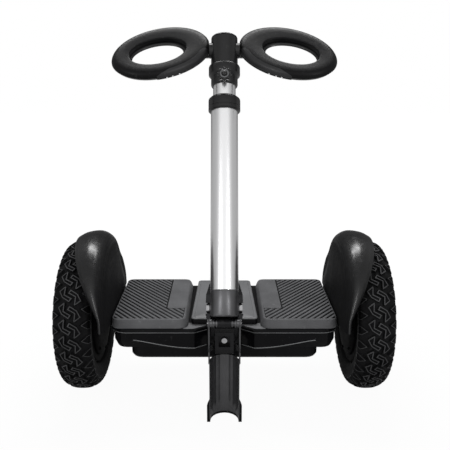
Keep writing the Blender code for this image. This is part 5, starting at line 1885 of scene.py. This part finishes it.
@dataclass
class Studio:
    """The pale floor, soft lamps, white surround and the photograph's camera.

    Places and reaches are in metres. The gloss levels are how bright the surround is to glossy
    surfaces, from in front of the object to behind it.
    """

    lens: float = 48.0
    sensor: float = 36.0
    place: Triple = (0.0, -0.978, 0.549)
    pitch: float = math.radians(75)
    shift_x: float = 0.6 / 450
    clip_start: float = 0.01
    floor_size: float = 6.0
    floor_tones: Pair = (0.44, 0.46)
    floor_roughness: float = 0.9
    floor_specular: float = 0.1
    floor_glow: float = 1.03
    floor_gloss: float = 0.22
    shadow_reach: Pair = (0.3, 0.9)
    shadow_share: Pair = (0.93, 1.0)
    surround: float = 0.5
    gloss_levels: tuple[Pair, ...] = (
        (0.0, 1.0), (0.14, 1.0), (0.27, 0.62), (0.37, 0.47), (0.76, 0.44), (0.93, 0.12),
        (1.0, 0.10),
    )
    aim: Triple = (0.0, 0.0, 0.2)
    lamps: tuple[Lamp, ...] = (
        Lamp("overhead", (0.0, 0.85, 1.9), (1.5, 0.45), 24),
        Lamp("front_left", (-0.95, -1.4, 0.8), (0.22, 0.9), 4.5),
        Lamp("front_right", (0.95, -1.4, 0.8), (0.22, 0.9), 4.5),
    )

    def camera(self) -> None:
        """Set the camera at the photograph's viewing angle."""
        data = bpy.data.cameras.new("view")
        data.lens = self.lens
        data.sensor_width = self.sensor
        data.shift_x = self.shift_x
        data.clip_start = self.clip_start
        camera = bpy.data.objects.new("view", data)
        camera.location = self.place
        camera.rotation_euler = (self.pitch, 0, 0)
        bpy.context.scene.collection.objects.link(camera)
        bpy.context.scene.camera = camera

    def floor(self) -> None:
        """Lay a wide pale floor that looks nearly white and keeps the object's soft shadow."""
        bm = bmesh.new()
        bmesh.ops.create_grid(bm, x_segments=2, y_segments=2, size=self.floor_size)
        mesh = bpy.data.meshes.new("floor")
        bm.to_mesh(mesh)
        bm.free()
        material = bpy.data.materials.new("floor_pale")
        bench = NodeBench(material)
        grain = bench.noise(bench.place(0, (1, 1, 1)), 3, 4)
        darker, paler = ((tone, tone, tone) for tone in self.floor_tones)
        inputs = {
            "Base Color": bench.mixed(grain, darker, paler),
            "Roughness": self.floor_roughness,
            "Specular IOR Level": self.floor_specular,
        }
        bench.feed(bench.shader, inputs)
        glow = bench.add("Emission", {"Color": (1, 1, 1, 1), "Strength": self.floor_glow})
        paths = bench.add("LightPath").outputs
        gloss = bench.maths("MULTIPLY", paths["Is Glossy Ray"], self.floor_gloss)
        seen = bench.maths("ADD", paths["Is Camera Ray"], gloss)
        seen = bench.maths("ADD", seen, paths["Is Transmission Ray"])
        # Close to the object the floor keeps a soft shadow; farther off it turns plain white.
        spot = bench.add("TexCoord").outputs["Object"]
        away = bench.add("VectorMath", {0: spot}, operation="LENGTH").outputs["Value"]
        most = bench.ranged(away, self.shadow_reach, self.shadow_share)
        share = bench.maths("MULTIPLY", seen, most)
        blend = bench.add("MixShader", {0: share, 1: bench.shader.outputs[0], 2: glow.outputs[0]})
        bench.feed(bench.tree.nodes["Material Output"], {"Surface": blend.outputs[0]})
        mesh.materials.append(material)
        floor = bpy.data.objects.new("floor", mesh)
        bpy.context.scene.collection.objects.link(floor)

    def world(self) -> None:
        """Make the surround: white where it is seen, and a plain even light otherwise."""
        world = bpy.data.worlds.new("studio")
        bpy.context.scene.world = world
        bench = NodeBench(world)
        paths = bench.add("LightPath").outputs
        seen = bench.maths("ADD", paths["Is Camera Ray"], paths["Is Transmission Ray"])
        seen = bench.maths("ADD", seen, paths["Is Glossy Ray"])
        # Gloss sees the white surround in front, grey at the sides and a dark studio behind.
        way = bench.add("TexCoord").outputs["Generated"]
        along = bench.add("SeparateXYZ", {0: way}).outputs["Y"]
        shade = bench.add("ValToRGB", {0: bench.ranged(along, (-1, 1), (0, 1))})
        stops = shade.color_ramp.elements
        for position, level in self.gloss_levels:
            is_end = position in (0.0, 1.0)
            stop = stops[int(position) * (len(stops) - 1)] if is_end else stops.new(position)
            stop.color = (level, level, level, 1)
        inputs = {
            "Color": bench.mixed(paths["Is Glossy Ray"], (1, 1, 1), shade.outputs["Color"]),
            "Strength": bench.ranged(seen, (0, 1), (self.surround, 1)),
        }
        bench.feed(bench.tree.nodes["Background"], inputs)

    def build(self) -> None:
        """Build the whole set."""
        self.camera()
        self.floor()
        self.world()
        for lamp in self.lamps:
            lamp.hang(self.aim)
        bpy.context.scene.view_settings.view_transform = "Standard"


def main() -> None:
    """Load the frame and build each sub-assembly round it."""
    logging.basicConfig(level=logging.INFO, format="%(name)s %(message)s")
    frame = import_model()
    CarriedNodes().dress(frame["nodes"])
    for assembly in (
        OffRoadTyre(),
        HubMotor(),
        WheelFender(),
        FootMat(),
        Console(),
        FrontLights(),
        ShellLip(),
        LegHinge(),
        TelescopicColumn(),
        ColumnSocket(),
        ClampKnob(),
        RingHandle(),
    ):
        LOG.info("building %s", type(assembly).__name__)
        assembly.build()
    Studio().build()


if __name__ == "__main__":
    main()
